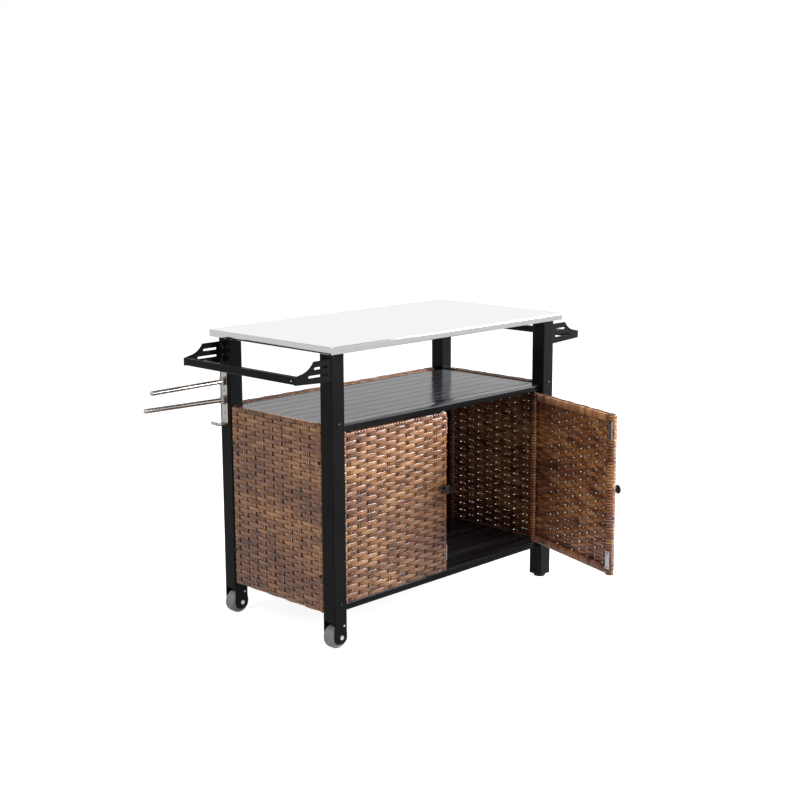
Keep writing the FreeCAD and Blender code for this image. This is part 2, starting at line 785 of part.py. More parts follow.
def make_bracket(name, side_x, side_y):
    """A slotted plate with a scooped top edge and a flange against the leg."""
    bracket = make_body(name, (f"{side_x} * {OUTER_X}", f"{side_y} * {BRACKET_Y}", "0"))
    bar_top = "(bar_low + bar_tall)"
    out = lambda text: f"{side_x} * ({text})"
    bend = "-handle_scoop" if side_x < 0 else "handle_scoop"
    bottom_end = "bar_low - bar_corner / 2"
    level = "0" if side_y < 0 else "-handle_plate"
    web = sketch(bracket, "Y", level)
    outline(web, [
        ("0", "handle_low"),
        ("0", "handle_top"),
        (out("handle_shoulder"), "handle_top", bend),
        (out("handle_scoop_end"), "handle_scoop_low"),
        (out("handle_reach"), bar_top),
        (out("handle_reach"), bottom_end),
    ])
    pad(bracket, web, "Y", "handle_plate")
    plate = sketch(bracket, "X", "0" if side_x > 0 else "-handle_plate")
    near = "0" if side_y < 0 else "-handle_flange"
    rectangle(plate, near, f"{near} + handle_flange", "handle_low", "handle_top")
    pad(bracket, plate, "X", "handle_plate")
    slots = sketch(bracket, "Y", level)
    for end, height in (("upper_slot_end", "upper_slot_level"), ("lower_slot_end", "lower_slot_level")):
        limits = ("slot_start", end) if side_x > 0 else (f"-{end}", "-slot_start")
        slot(slots, limits[0], limits[1], height, "slot_tall")
    pocket(bracket, slots, "Y", "handle_plate")
    return node(bracket)


def make_handles():
    """At each end two brackets on the legs and a tube between them."""
    for end, side_x in (("left", -1), ("right", 1)):
        for name, side_y in (("front", -1), ("rear", 1)):
            make_bracket(f"{end}_handle_{name}_bracket", side_x, side_y)
        half = f"({BRACKET_Y} - handle_plate)"
        outer = f"({OUTER_X} + handle_reach)"
        middle = f"{side_x} * ({outer} - bar_deep / 2)"
        bar = make_body(f"{end}_handle_bar", (middle, f"-{half}", "bar_low"))
        section = sketch(bar, "Y")
        wall_x = "(bar_deep / 2 - bar_wall)"
        rectangle(section, "-bar_deep / 2", "bar_deep / 2", "0", "bar_tall")
        rectangle(section, f"-{wall_x}", wall_x, "bar_wall", "bar_tall - bar_wall")
        pad(bar, section, "Y", f"2 * {half}")
        wide = value("bar_deep / 2") - TOUCH
        soften(bar, lambda edge: runs_along(edge, "y") and abs(edge.CenterOfMass.x) > wide, "bar_corner")
        node(bar)


def make_hanger():
    """A stainless strip with a hook at its foot and two pairs of ears for the swing arms."""
    plate = make_body("hanger_plate", (f"-{OUTER_X}", LEG_Y, "0"))
    strip = sketch(plate, "Y", "-1 * strip_wide / 2")
    inner = "(hook_round - strip_thick)"
    outline(strip, [
        ("0", "strip_top"),
        ("-strip_thick", "strip_top"),
        ("-strip_thick", "hook_level + hook_round", "-" + inner),
        ("-hook_round", "hook_level + strip_thick"),
        ("-hook_reach + hook_round", "hook_level + strip_thick", "-" + inner),
        ("-hook_reach + strip_thick", "hook_level + hook_round"),
        ("-hook_reach + strip_thick", "hook_level + hook_rise"),
        ("-hook_reach", "hook_level + hook_rise"),
        ("-hook_reach", "hook_level + hook_round", "hook_round"),
        ("-hook_reach + hook_round", "hook_level"),
        ("-hook_round", "hook_level", "hook_round"),
        ("0", "hook_level + hook_round"),
    ])
    pad(plate, strip, "Y", "strip_wide")
    for level in ("upper_arm_level", "lower_arm_level"):
        half = "(barrel_tall / 2 + clear_gap)"
        for low in (f"{level} - {half} - ear_thick", f"{level} + {half}"):
            ear = sketch(plate, "Z", low)
            tip = "(strip_thick + ear_reach)"
            outline(ear, [
                ("-strip_thick", "ear_reach"),
                (f"-{tip}", "ear_reach", "ear_reach"),
                (f"-{tip}", "-ear_reach"),
                ("-strip_thick", "-ear_reach"),
            ])
            pad(plate, ear, "Z", "ear_thick")
            bore = sketch(plate, "Z", low)
            ring(bore, f"-{tip}", "0", "arm_pin / 2 + fit_gap")
            pocket(plate, bore, "Z", "ear_thick")
    node(plate)
    pins = []
    for level in ("upper_arm_level", "lower_arm_level"):
        half = "(barrel_tall / 2 + clear_gap + ear_thick)"
        at = (f"-{ARM_X}", LEG_Y, f"{level} + {half}")
        pins.append(headed("hanger_pin", at, Vector(0, 0, -1), "arm_pin", f"2 * {half}",
                           "pin_head", "pin_head_high"))
    group("hanger_pins", pins)
    make_arm("upper_arm", "upper_arm_level", "upper_arm_angle")
    make_arm("lower_arm", "lower_arm_level", "lower_arm_angle")


def make_arm(name, level, angle):
    """A round bar with a barrel for its pin."""
    arm = make_body(name, (f"-{ARM_X}", LEG_Y, level), angle)
    barrel = sketch(arm, "Z", "-1 * barrel_tall / 2")
    ring(barrel, "0", "0", "ear_reach - clear_gap")
    pad(arm, barrel, "Z", "barrel_tall")
    rod = sketch(arm, "X", "-1 * arm_length")
    ring(rod, "0", "0", "arm_size / 2")
    pad(arm, rod, "X", "arm_length")
    tip = value("arm_length") - TOUCH
    soften(arm, lambda edge: edge.CenterOfMass.x < -tip, "arm_bevel", "Chamfer")
    bore = sketch(arm, "Z", "-1 * barrel_tall / 2")
    ring(bore, "0", "0", "arm_pin / 2 + fit_gap")
    pocket(arm, bore, "Z", "barrel_tall")
    return node(arm)


def make_wheel(name, side_y):
    """A tyre on a hub, with the axle along Y."""
    at = (f"-{LEG_X}", f"{side_y} * {LEG_Y}", AXLE_Z)
    tyre = make_body(f"{name}_tyre", at)
    half = "(wheel_wide / 2)"
    rim = "(wheel_size / 2)"
    section = sketch(tyre, "Z")
    outline(section, [
        ("hub_size / 2", f"-{half}"),
        (f"{rim} - wheel_bevel", f"-{half}"),
        (rim, f"-{half} + wheel_bevel"),
        (rim, f"{half} - wheel_bevel"),
        (f"{rim} - wheel_bevel", half),
        ("hub_size / 2", half),
    ])
    turned(tyre, section)
    node(tyre)
    hub = make_body(f"{name}_hub", at)
    core = sketch(hub, "Z")
    proud = f"({half} + hub_proud)"
    bore = "(axle_size / 2 + fit_gap)"
    outline(core, [
        (bore, f"-{proud}"),
        ("hub_boss / 2", f"-{proud}"),
        ("hub_boss / 2", f"-{half} + hub_dish"),
        ("hub_size / 2", f"-{half} + hub_dish"),
        ("hub_size / 2", f"{half} - hub_dish"),
        ("hub_boss / 2", f"{half} - hub_dish"),
        ("hub_boss / 2", proud),
        (bore, proud),
    ])
    turned(hub, core)
    node(hub)


def make_fork(name, side_y):
    """An inverted U inside a leg: its plates fill the room between the hub and the leg's walls."""
    fork = make_body(name, (f"-{LEG_X}", f"{side_y} * {LEG_Y}", "0"))
    section = sketch(fork, "X", "-1 * fork_wide / 2")
    inner = "(wheel_wide / 2 + hub_proud + clear_gap)"
    top = "(wheel_size + fork_top)"
    outline(section, [
        (f"-{LEG_BORE}", "fork_low"),
        (f"-{inner}", "fork_low"),
        (f"-{inner}", f"{top} - fork_thick"),
        (inner, f"{top} - fork_thick"),
        (inner, "fork_low"),
        (LEG_BORE, "fork_low"),
        (LEG_BORE, top),
        (f"-{LEG_BORE}", top),
    ])
    pad(fork, section, "X", "fork_wide")
    axle = sketch(fork, "Y", "-1 * leg_size")
    ring(axle, "0", AXLE_Z, "axle_size / 2 + fit_gap")
    pocket(fork, axle, "Y", "2 * leg_size")
    return node(fork)


def make_wheels():
    """Two wheels, their forks, and the bolts and nuts of their axles."""
    bolts = []
    nuts = []
    long = "leg_size + nut_high + axle_tail"
    for name, side_y in (("front", -1), ("rear", 1)):
        make_wheel(name, side_y)
        make_fork(f"{name}_fork", side_y)
        seat = f"{side_y} * {LEG_Y} - leg_size / 2"
        bolts.append(headed("axle_bolt", (f"-{LEG_X}", seat, AXLE_Z), Vector(0, 1, 0),
                            "axle_size", long, "axle_head", "axle_head_high"))
        nut = make_body("axle_nut", (f"-{LEG_X}", f"{side_y} * {LEG_Y} + leg_size / 2", AXLE_Z))
        hexagon = sketch(nut, "Y")
        flats = "nut_size / 2"
        tip = "nut_size / sqrt(3)"
        side = f"({tip}) / 2"
        outline(hexagon, [
            (f"-({tip})", "0"), (f"-({side})", f"-({flats})"), (side, f"-({flats})"),
            (tip, "0"), (side, flats), (f"-({side})", flats),
        ])
        ring(hexagon, "0", "0", "axle_size / 2 + fit_gap")
        pad(nut, hexagon, "Y", "nut_high")
        nuts.append(nut)
    group("axle_bolts", bolts)
    group("axle_nuts", nuts)


make_worktop()
make_legs()
make_shelves()
make_panels()
make_doors()
make_handles()
make_hanger()
make_wheels()
doc.recompute()

for obj in doc.Objects:
    if "Invalid" in obj.State or "Error" in obj.State:
        raise RuntimeError(f"{obj.Name} failed: {obj.State}")
for part in nodes:
    if part.Shape.isNull() or not part.Shape.isValid():
        raise RuntimeError(f"{part.Label} has no valid shape")
for part in nodes:
    part.Shape.exportStep(f"parts/{part.Label}.step")
print(len(nodes), "sub-parts")
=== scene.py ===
# %% [markdown]
# # Grill cart with storage
#
# The cart's construction comes in as a fixed frame: every part sits at its real place, in metres,
# with +X along the worktop, +Y to the back and +Z up. This notebook gives each part its looks.
# It makes in detail what the frame only blocks out, such as the woven wicker, and it leaves
# the frame's own parts where they are.

# %% Load the frame
import json
import math

import bmesh
import bpy
from mathutils import Matrix, Vector


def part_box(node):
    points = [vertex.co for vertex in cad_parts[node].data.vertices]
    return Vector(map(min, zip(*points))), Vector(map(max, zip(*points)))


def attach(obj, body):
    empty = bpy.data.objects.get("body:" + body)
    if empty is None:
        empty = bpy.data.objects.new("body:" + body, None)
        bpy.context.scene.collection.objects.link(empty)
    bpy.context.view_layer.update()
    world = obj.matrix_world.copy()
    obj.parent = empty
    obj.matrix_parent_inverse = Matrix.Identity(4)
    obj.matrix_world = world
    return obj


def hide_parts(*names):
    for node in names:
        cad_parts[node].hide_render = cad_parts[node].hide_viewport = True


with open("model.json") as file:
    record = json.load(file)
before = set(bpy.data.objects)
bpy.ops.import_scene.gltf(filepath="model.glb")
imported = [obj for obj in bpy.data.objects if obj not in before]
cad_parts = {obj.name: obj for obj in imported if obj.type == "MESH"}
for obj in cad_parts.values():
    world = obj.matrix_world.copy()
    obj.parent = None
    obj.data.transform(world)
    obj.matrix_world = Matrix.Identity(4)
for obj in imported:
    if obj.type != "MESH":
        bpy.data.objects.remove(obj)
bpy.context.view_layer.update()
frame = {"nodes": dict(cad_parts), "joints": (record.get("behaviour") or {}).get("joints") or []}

# %% [markdown]
# ## Camera
#
# A product shot stands a little back with a longish lens, so that upright legs stay nearly upright.
# The camera's place, heading and tilt were solved from the corners of the worktop and the legs.
# A camera looks along its own -Z, with +X to the right of the picture, so the three directions
# are worked out from the heading and the tilt, and written into its matrix.

# %% Camera
CAMERA_PLACE = Vector((-3.0197, -3.0133, 1.4407))
CAMERA_HEADING = math.radians(44.654)
CAMERA_DOWN = math.radians(10.696)
CAMERA_ROLL = math.radians(-0.267)
CAMERA_LENS = 63.07
SENSOR_WIDE = 36
PICTURE_SIZE = 800
PICTURE_MIDDLE = (399.84, 395.96)


def make_camera():
    level = Vector((math.cos(CAMERA_HEADING), math.sin(CAMERA_HEADING), 0))
    right = Vector((level.y, -level.x, 0))
    ahead = level * math.cos(CAMERA_DOWN) - Vector((0, 0, math.sin(CAMERA_DOWN)))
    up = right.cross(ahead)
    across = right * math.cos(CAMERA_ROLL) + up * math.sin(CAMERA_ROLL)
    above = up * math.cos(CAMERA_ROLL) - right * math.sin(CAMERA_ROLL)
    data = bpy.data.cameras.new("camera")
    data.lens = CAMERA_LENS
    data.sensor_width = SENSOR_WIDE
    data.shift_x = 0.5 - PICTURE_MIDDLE[0] / PICTURE_SIZE
    data.shift_y = PICTURE_MIDDLE[1] / PICTURE_SIZE - 0.5
    camera = bpy.data.objects.new("camera", data)
    turn = Matrix((across, above, -ahead)).transposed().to_4x4()
    camera.matrix_world = Matrix.Translation(CAMERA_PLACE) @ turn
    bpy.context.collection.objects.link(camera)
    bpy.context.scene.camera = camera
    return camera


camera = make_camera()
print("camera at", tuple(round(v, 3) for v in camera.location))

# %% [markdown]
# ## Words for node trees
#
# Shaders and geometry trees are both nodes and links, so two helpers serve all of them. `put` adds
# a node, sets its options and fills its inputs: a socket is joined, and anything else becomes the
# value. `calc` does one step of arithmetic and hands back the result's socket.

# %% Node helpers
def put(tree, kind, inputs=None, **options):
    node = tree.nodes.new(kind)
    for name, value in options.items():
        setattr(node, name, value)
    for key, value in (inputs or {}).items():
        if isinstance(value, bpy.types.NodeSocket):
            tree.links.new(value, node.inputs[key])
        else:
            node.inputs[key].default_value = value
    return node


def calc(tree, operation, first, second=0.0):
    return put(tree, "ShaderNodeMath", {0: first, 1: second}, operation=operation).outputs[0]


def joined(tree, x=0.0, y=0.0, z=0.0):
    return put(tree, "ShaderNodeCombineXYZ", {0: x, 1: y, 2: z}).outputs[0]


print("node helpers", [helper.__name__ for helper in (put, calc, joined)])

# %% [markdown]
# ## Sky
#
# A product shot has a plain pale surround. The sky lights the cart softly with a slightly warm
# white, and shows something else to the rays that meet it directly. The camera and the mirrors of
# steel see plain white near the horizon and a dark grey overhead, so that the steel isn't one white
# patch. A picture of a studio could be wrapped round instead, but it would say no more.

# %% Sky
WHITE = (1, 1, 1, 1)
SKY_TINT = (1.0, 0.96, 0.92, 1)
SKY_STRENGTH = 0.26
OVERHEAD_FROM = 0.40
OVERHEAD_TO = 0.75
OVERHEAD_TONE = 0.12


def light_path(tree):
    """Two values: one is 1 for what the camera sees, the other for what a mirror or glass shows."""
    path = put(tree, "ShaderNodeLightPath").outputs
    mirrored = calc(tree, "MAXIMUM", path["Is Glossy Ray"], path["Is Transmission Ray"])
    return path["Is Camera Ray"], mirrored


def between(tree, amount, low, high, start=0.0, end=1.0):
    """Spreads the range from start to end over the range from low to high."""
    return put(tree, "ShaderNodeMapRange", {0: amount, 1: start, 2: end, 3: low, 4: high}).outputs[0]


def make_sky():
    world = bpy.data.worlds.new("studio")
    bpy.context.scene.world = world
    world.use_nodes = True
    tree = world.node_tree
    tree.nodes.clear()
    seen, mirrored = light_path(tree)
    lit = put(tree, "ShaderNodeBackground", {0: SKY_TINT, 1: SKY_STRENGTH})
    direction = put(tree, "ShaderNodeTexCoord").outputs["Generated"]
    height = put(tree, "ShaderNodeSeparateXYZ", {0: direction}).outputs[2]
    tone = between(tree, height, 1.0, OVERHEAD_TONE, OVERHEAD_FROM, OVERHEAD_TO)
    shown = put(tree, "ShaderNodeBackground", {0: WHITE, 1: tone})
    mixed = put(tree, "ShaderNodeMixShader",
                {0: calc(tree, "MAXIMUM", seen, mirrored), 1: lit.outputs[0], 2: shown.outputs[0]})
    put(tree, "ShaderNodeOutputWorld", {0: mixed.outputs[0]})
    return tree


print("sky has", len(make_sky().nodes), "nodes")

# %% [markdown]
# ## Floor
#
# The floor is one big matt sheet that takes the cart's shadow. A glow that only the camera sees
# lifts it to near white, so the surround is bright without more light on the cart. Mirrors see it
# as plain white. A curved studio sweep would do as well, but nothing would be gained by the curve.

# %% Floor
FLOOR_TONE = 0.45
FLOOR_GLOW = 0.90
FLOOR_REACH = 40


def new_tree(name):
    made = bpy.data.materials.new(name)
    made.use_nodes = True
    made.node_tree.nodes.clear()
    return made, made.node_tree


def floor_paint():
    made, tree = new_tree("floor_paint")
    seen, mirrored = light_path(tree)
    matt = put(tree, "ShaderNodeBsdfDiffuse", {0: (FLOOR_TONE, FLOOR_TONE, FLOOR_TONE, 1)})
    glow = put(tree, "ShaderNodeEmission", {0: WHITE, 1: calc(tree, "MULTIPLY", seen, FLOOR_GLOW)})
    both = put(tree, "ShaderNodeAddShader", {0: matt.outputs[0], 1: glow.outputs[0]})
    plain = put(tree, "ShaderNodeEmission", {0: WHITE, 1: 1.0})
    whole = put(tree, "ShaderNodeMixShader", {0: mirrored, 1: both.outputs[0], 2: plain.outputs[0]})
    put(tree, "ShaderNodeOutputMaterial", {0: whole.outputs[0]})
    return made


def make_floor():
    mesh = bpy.data.meshes.new("floor")
    corners = [(x * FLOOR_REACH, y * FLOOR_REACH, 0) for x, y in ((-1, -1), (1, -1), (1, 1), (-1, 1))]
    mesh.from_pydata(corners, [], [(0, 1, 2, 3)])
    mesh.materials.append(floor_paint())
    floor = bpy.data.objects.new("floor", mesh)
    bpy.context.collection.objects.link(floor)


make_floor()
print("floor reaches", FLOOR_REACH, "m each way")

# %% [markdown]
# ## Lamps
#
# Most light comes from one big lamp on the right, which gives each strand of the wicker a bright
# and a dark half. Three weaker ones fill the front, the left side and the top. All of them are big,
# because a small lamp would draw hard glints in the gloss of the paint.

# %% Lamps
def make_lamp(name, place, aim, size, power, tint=(1, 1, 1)):
    data = bpy.data.lights.new(name, "AREA")
    data.shape = "RECTANGLE"
    data.size, data.size_y = size
    data.energy = power
    data.color = tint
    lamp = bpy.data.objects.new(name, data)
    lamp.location = place
    lamp.rotation_euler = (Vector(aim) - Vector(place)).to_track_quat("-Z", "Y").to_euler()
    bpy.context.collection.objects.link(lamp)


make_lamp("key", place=(3.8, -2.6, 1.65), aim=(0, -0.2, 0.4), size=(2.8, 2.0), power=595,
          tint=(0.97, 1.0, 1.06))
make_lamp("front", place=(0.6, -4.4, 2.6), aim=(0, 0, 0.4), size=(2.6, 2.0), power=80)
make_lamp("left", place=(-3.0, -0.3, 3.0), aim=(0, -0.2, 0.4), size=(1.6, 1.6), power=58,
          tint=(1, 0.94, 0.86))
make_lamp("top", place=(-0.4, -0.2, 4.2), aim=(0, 0, 0.5), size=(2.0, 2.0), power=60)
bpy.context.scene.view_settings.view_transform = "Standard"

# %% [markdown]
# ## Helpers for finishes
#
# Every finish starts from one principled shader. Real surfaces are never even: the powder coat has
# a fine orange peel, and steel is brushed along one direction. `speckle` is the noise behind all of
# that, stretched by its three scales in the piece's own space.

# %% Finish helpers
def speckle(tree, scales, detail=2.0, where=None):
    place = where or put(tree, "ShaderNodeTexCoord").outputs["Object"]
    spread = put(tree, "ShaderNodeVectorMath", {0: place, 1: scales}, operation="MULTIPLY")
    return put(tree, "ShaderNodeTexNoise",
               {"Vector": spread.outputs[0], "Scale": 1.0, "Detail": detail}).outputs[0]


def ramp(tree, amount, stops):
    node = put(tree, "ShaderNodeValToRGB", {0: amount})
    band = node.color_ramp
    while len(band.elements) < len(stops):
        band.elements.new(0.5)
    for element, (place, colour) in zip(band.elements, stops):
        element.position = place
        element.color = (*colour, 1)
    return node.outputs[0]


def bumped(tree, height, depth):
    return put(tree, "ShaderNodeBump", {"Height": height, "Distance": depth, "Strength": 1.0}).outputs[0]


def shaded(tree, inputs):
    shader = put(tree, "ShaderNodeBsdfPrincipled", inputs)
    put(tree, "ShaderNodeOutputMaterial", {0: shader.outputs[0]})


print("finish helpers", [helper.__name__ for helper in (speckle, ramp, bumped, shaded)])

# %% [markdown]
# ## Wicker finish
#
# The wicker is a flat plastic strand, moulded with fine lines along its length and dyed in drifting
# browns. The weave's geometry leaves notes on every strand: `along` is the distance down it,
# `across` runs from edge to edge, and `strand` tells one from the next. Colour drifts along a strand
# and jumps between strands, and the lines are a noise that is long one way and short the other.
# Two more notes paint light and shade: one lifts or darkens a whole part, and one blackens the
# cores of the wound bars, as painted shade in the gaps between wraps. The edges of every strand are
# painted towards a dark brown too, as painted shade in the gaps between rows. A woven picture could be
# laid on a flat panel instead, but its strands would cast no shadows on each other.

# %% Wicker material
WICKER_PLUM = (0.160, 0.055, 0.028)
WICKER_TAN = (0.330, 0.144, 0.052)
WICKER_SHADES = [(0.22, (0.30, 0.24, 0.22)), (0.42, (0.80, 0.76, 0.74)), (0.56, (1.0, 1.0, 1.0)),
                 (0.75, (1.25, 1.48, 1.75))]
# Painted shade: the dark brown that strand edges and bar cores turn to, for the shade in the gaps.
PAINTED_SHADE_BROWN = (0.012, 0.006, 0.004, 1)
PATCH_SCALES = (2.6, 2.6, 12.0)
DRIFT_SCALES = (14.0, 1.0, 1.0)
LINE_SCALES = (60.0, 5.0, 1.0)
LINE_SHARE = 0.7
LINE_DEPTH = 0.0006
STRAND_STEP = 7.31
# Painted shade: where across a strand its edges start and finish darkening, how far they darken, and how far a
# core darkens.
RIM_FROM = 0.31
RIM_TO = 0.47
RIM_PAINTED_SHADE = 0.76
CORE_PAINTED_SHADE = 0.9


def note(tree, name):
    return put(tree, "ShaderNodeAttribute", attribute_name=name).outputs["Fac"]


def blended(tree, amount, first, second, how="MIX"):
    node = put(tree, "ShaderNodeMix", {0: amount, 6: first, 7: second}, data_type="RGBA", blend_type=how)
    return node.outputs[2]


def wicker_finish():
    made, tree = new_tree("wicker")
    along = note(tree, "along")
    across = note(tree, "across")
    own = calc(tree, "MULTIPLY", note(tree, "strand"), STRAND_STEP)
    patch = between(tree, speckle(tree, PATCH_SCALES, 3.0), 0.0, 1.0, 0.36, 0.64)
    drift = between(tree, speckle(tree, DRIFT_SCALES, 2.0, joined(tree, along, own)), 0.1, 0.9, 0.25, 0.75)
    lines = speckle(tree, LINE_SCALES, 2.0, joined(tree, along, across, own))
    grain = calc(tree, "MULTIPLY", calc(tree, "SUBTRACT", lines, 0.5), LINE_SHARE)
    shades = ramp(tree, calc(tree, "ADD", drift, grain), WICKER_SHADES)
    dye = blended(tree, patch, (*WICKER_PLUM, 1), (*WICKER_TAN, 1))
    colour = blended(tree, 1.0, dye, shades, "MULTIPLY")
    # Painted light and shade: a part's note lifts or darkens its whole colour.
    painted_light_factor = calc(tree, "ADD", note(tree, "bright"), 1.0)
    painted_light_colour = put(tree, "ShaderNodeHueSaturation", {"Value": painted_light_factor, "Color": colour}).outputs[0]
    # Painted shade: strand edges and bar cores are mixed towards a dark brown, as the shade in the gaps between
    # them.
    painted_rim_shade = between(tree, calc(tree, "ABSOLUTE", across), 0.0, RIM_PAINTED_SHADE, RIM_FROM, RIM_TO)
    painted_gap_shade = calc(tree, "MAXIMUM", painted_rim_shade, calc(tree, "MULTIPLY", note(tree, "dark"), CORE_PAINTED_SHADE))
    shaded(tree, {"Base Color": blended(tree, painted_gap_shade, painted_light_colour, PAINTED_SHADE_BROWN),
                  "Roughness": between(tree, lines, 0.18, 0.32),
                  "Specular IOR Level": 0.6, "Normal": bumped(tree, lines, LINE_DEPTH)})
    return made


FINISHES = {"wicker": wicker_finish()}
print("wicker has", len(FINISHES["wicker"].node_tree.nodes), "nodes")

# %% [markdown]
# ## Trees for the wicker
#
# A geometry tree is a recipe with named inputs. `start_tree` makes an empty recipe with its inputs
# and its one output, and `grown` runs a recipe once, takes the result as a plain mesh and throws the
# modifier away. The same weave could be made point by point in Python, but not so briefly.

# %% Tree helpers
KINDS = {"size": "NodeSocketFloat", "count": "NodeSocketInt", "material": "NodeSocketMaterial",
         "object": "NodeSocketObject", "shape": "NodeSocketGeometry"}


def start_tree(name, **inputs):
    tree = bpy.data.node_groups.new(name, "GeometryNodeTree")
    tree.interface.new_socket("Shape", in_out="OUTPUT", socket_type=KINDS["shape"])
    for label, kind in inputs.items():
        tree.interface.new_socket(label, in_out="INPUT", socket_type=KINDS[kind])
    return tree, tree.nodes.new("NodeGroupInput").outputs


def end_tree(tree, shape, material=None):
    whole = put(tree, "GeometryNodeRealizeInstances", {0: shape}).outputs[0]
    if material:
        whole = put(tree, "GeometryNodeSetMaterial", {0: whole, "Material": material}).outputs[0]
    end = tree.nodes.new("NodeGroupOutput")
    tree.links.new(whole, end.inputs[0])


def grown(tree, start=None, **sizes):
    seed = bpy.data.objects.new("seed", start or bpy.data.meshes.new("seed"))
    bpy.context.collection.objects.link(seed)
    modifier = seed.modifiers.new("grow", "NODES")
    modifier.node_group = tree
    for item in tree.interface.items_tree:
        if item.name in sizes:
            modifier[item.identifier] = sizes[item.name]
    depsgraph = bpy.context.evaluated_depsgraph_get()
    mesh = bpy.data.meshes.new_from_object(
        seed.evaluated_get(depsgraph), preserve_all_data_layers=True, depsgraph=depsgraph)
    seed.modifiers.remove(modifier)
    bpy.data.objects.remove(seed)
    return mesh


print("sockets", sorted(KINDS))

# %% [markdown]
# ## From a line to a strand
#
# Each strand is a curve that becomes a band of mesh by following a small section: an oval for the
# stakes and the wound bars, and a flat strip for the rows. On its way every strand gets the notes
# that the finish reads. A strand of real wicker never lies quite straight, so `shaken` moves its
# points about by a smooth noise.

# %% Strand helpers
def noted(tree, shape, name, value):
    return put(tree, "GeometryNodeStoreNamedAttribute",
               {"Geometry": shape, "Name": name, "Value": value}).outputs[0]


def moved(tree, shape, place):
    return put(tree, "GeometryNodeSetPosition", {"Geometry": shape, "Position": place}).outputs[0]


def place_parts(tree):
    here = put(tree, "GeometryNodeInputPosition").outputs[0]
    return put(tree, "ShaderNodeSeparateXYZ", {0: here}).outputs


def squared_off(tree, value):
    size = calc(tree, "POWER", calc(tree, "ABSOLUTE", value), 0.5)
    return calc(tree, "MULTIPLY", size, calc(tree, "SIGN", value))


def banded(tree, curve, thick, wide, points, upright, flat=False):
    """Turns curves into bands, thin across the piece and wide along it: ovals, or flat strips."""
    if upright:
        line = put(tree, "GeometryNodeSetCurveNormal", {"Curve": curve, "Normal": (0, -1, 0)}, mode="FREE")
    else:
        line = put(tree, "GeometryNodeSetCurveNormal", {"Curve": curve}, mode="Z_UP")
    ring = put(tree, "GeometryNodeCurvePrimitiveCircle", {"Resolution": points, "Radius": 0.5}).outputs[0]
    turned = put(tree, "GeometryNodeTransform", {0: ring, "Rotation": (0, 0, math.pi / points)}).outputs[0]
    if flat:
        x, y, _ = (calc(tree, "MULTIPLY", value, 2.0) for value in place_parts(tree))
        x, y = (calc(tree, "MULTIPLY", squared_off(tree, value), 0.5) for value in (x, y))
        turned = moved(tree, turned, joined(tree, x, y))
    marked = noted(tree, turned, "across", place_parts(tree)[1])
    oval = put(tree, "GeometryNodeTransform", {0: marked, "Scale": joined(tree, thick, wide, 1.0)})
    mesh = put(tree, "GeometryNodeCurveToMesh",
               {"Curve": line.outputs[0], "Profile Curve": oval.outputs[0], "Fill Caps": True})
    return put(tree, "GeometryNodeSetShadeSmooth", {0: mesh.outputs[0]}).outputs[0]


def shaken(tree, shape, scale, size, seed):
    here = put(tree, "GeometryNodeInputPosition").outputs[0]
    noise = put(tree, "ShaderNodeTexNoise", {"Vector": here, "W": seed, "Scale": scale, "Detail": 0.0},
                noise_dimensions="4D").outputs["Color"]
    middle = put(tree, "ShaderNodeVectorMath", {0: noise, 1: (0.5, 0.5, 0.5)}, operation="SUBTRACT")
    shift = put(tree, "ShaderNodeVectorMath", {0: middle.outputs[0], "Scale": size}, operation="SCALE")
    return put(tree, "GeometryNodeSetPosition", {"Geometry": shape, "Offset": shift.outputs[0]}).outputs[0]


print("strand helpers", [helper.__name__ for helper in (noted, moved, banded, shaken)])

# %% [markdown]
# ## Wrapped frame bars
#
# Behind each woven skin is a metal frame, wound closely with the same strand. A bar's winding is
# one long helix round a rounded oblong: the angle and the height both grow with the point's number,
# and raising the sine and cosine to a power squares the circle off. A core fills the middle, painted
# near black as shade in the gaps between the wraps.
# A ribbed box would be cheaper, but the open door shows these bars from near, edge on.

# %% The wrapped bar's tree
POINTS_PER_TURN = 12
LENGTH_PER_RISE = 1.4
TURNS_PER_RUN = 6.0
RUN_STEP = 0.37
TURN_STEP = 0.03
CORE_INSET = 0.004
WRAP_SIDES = 6


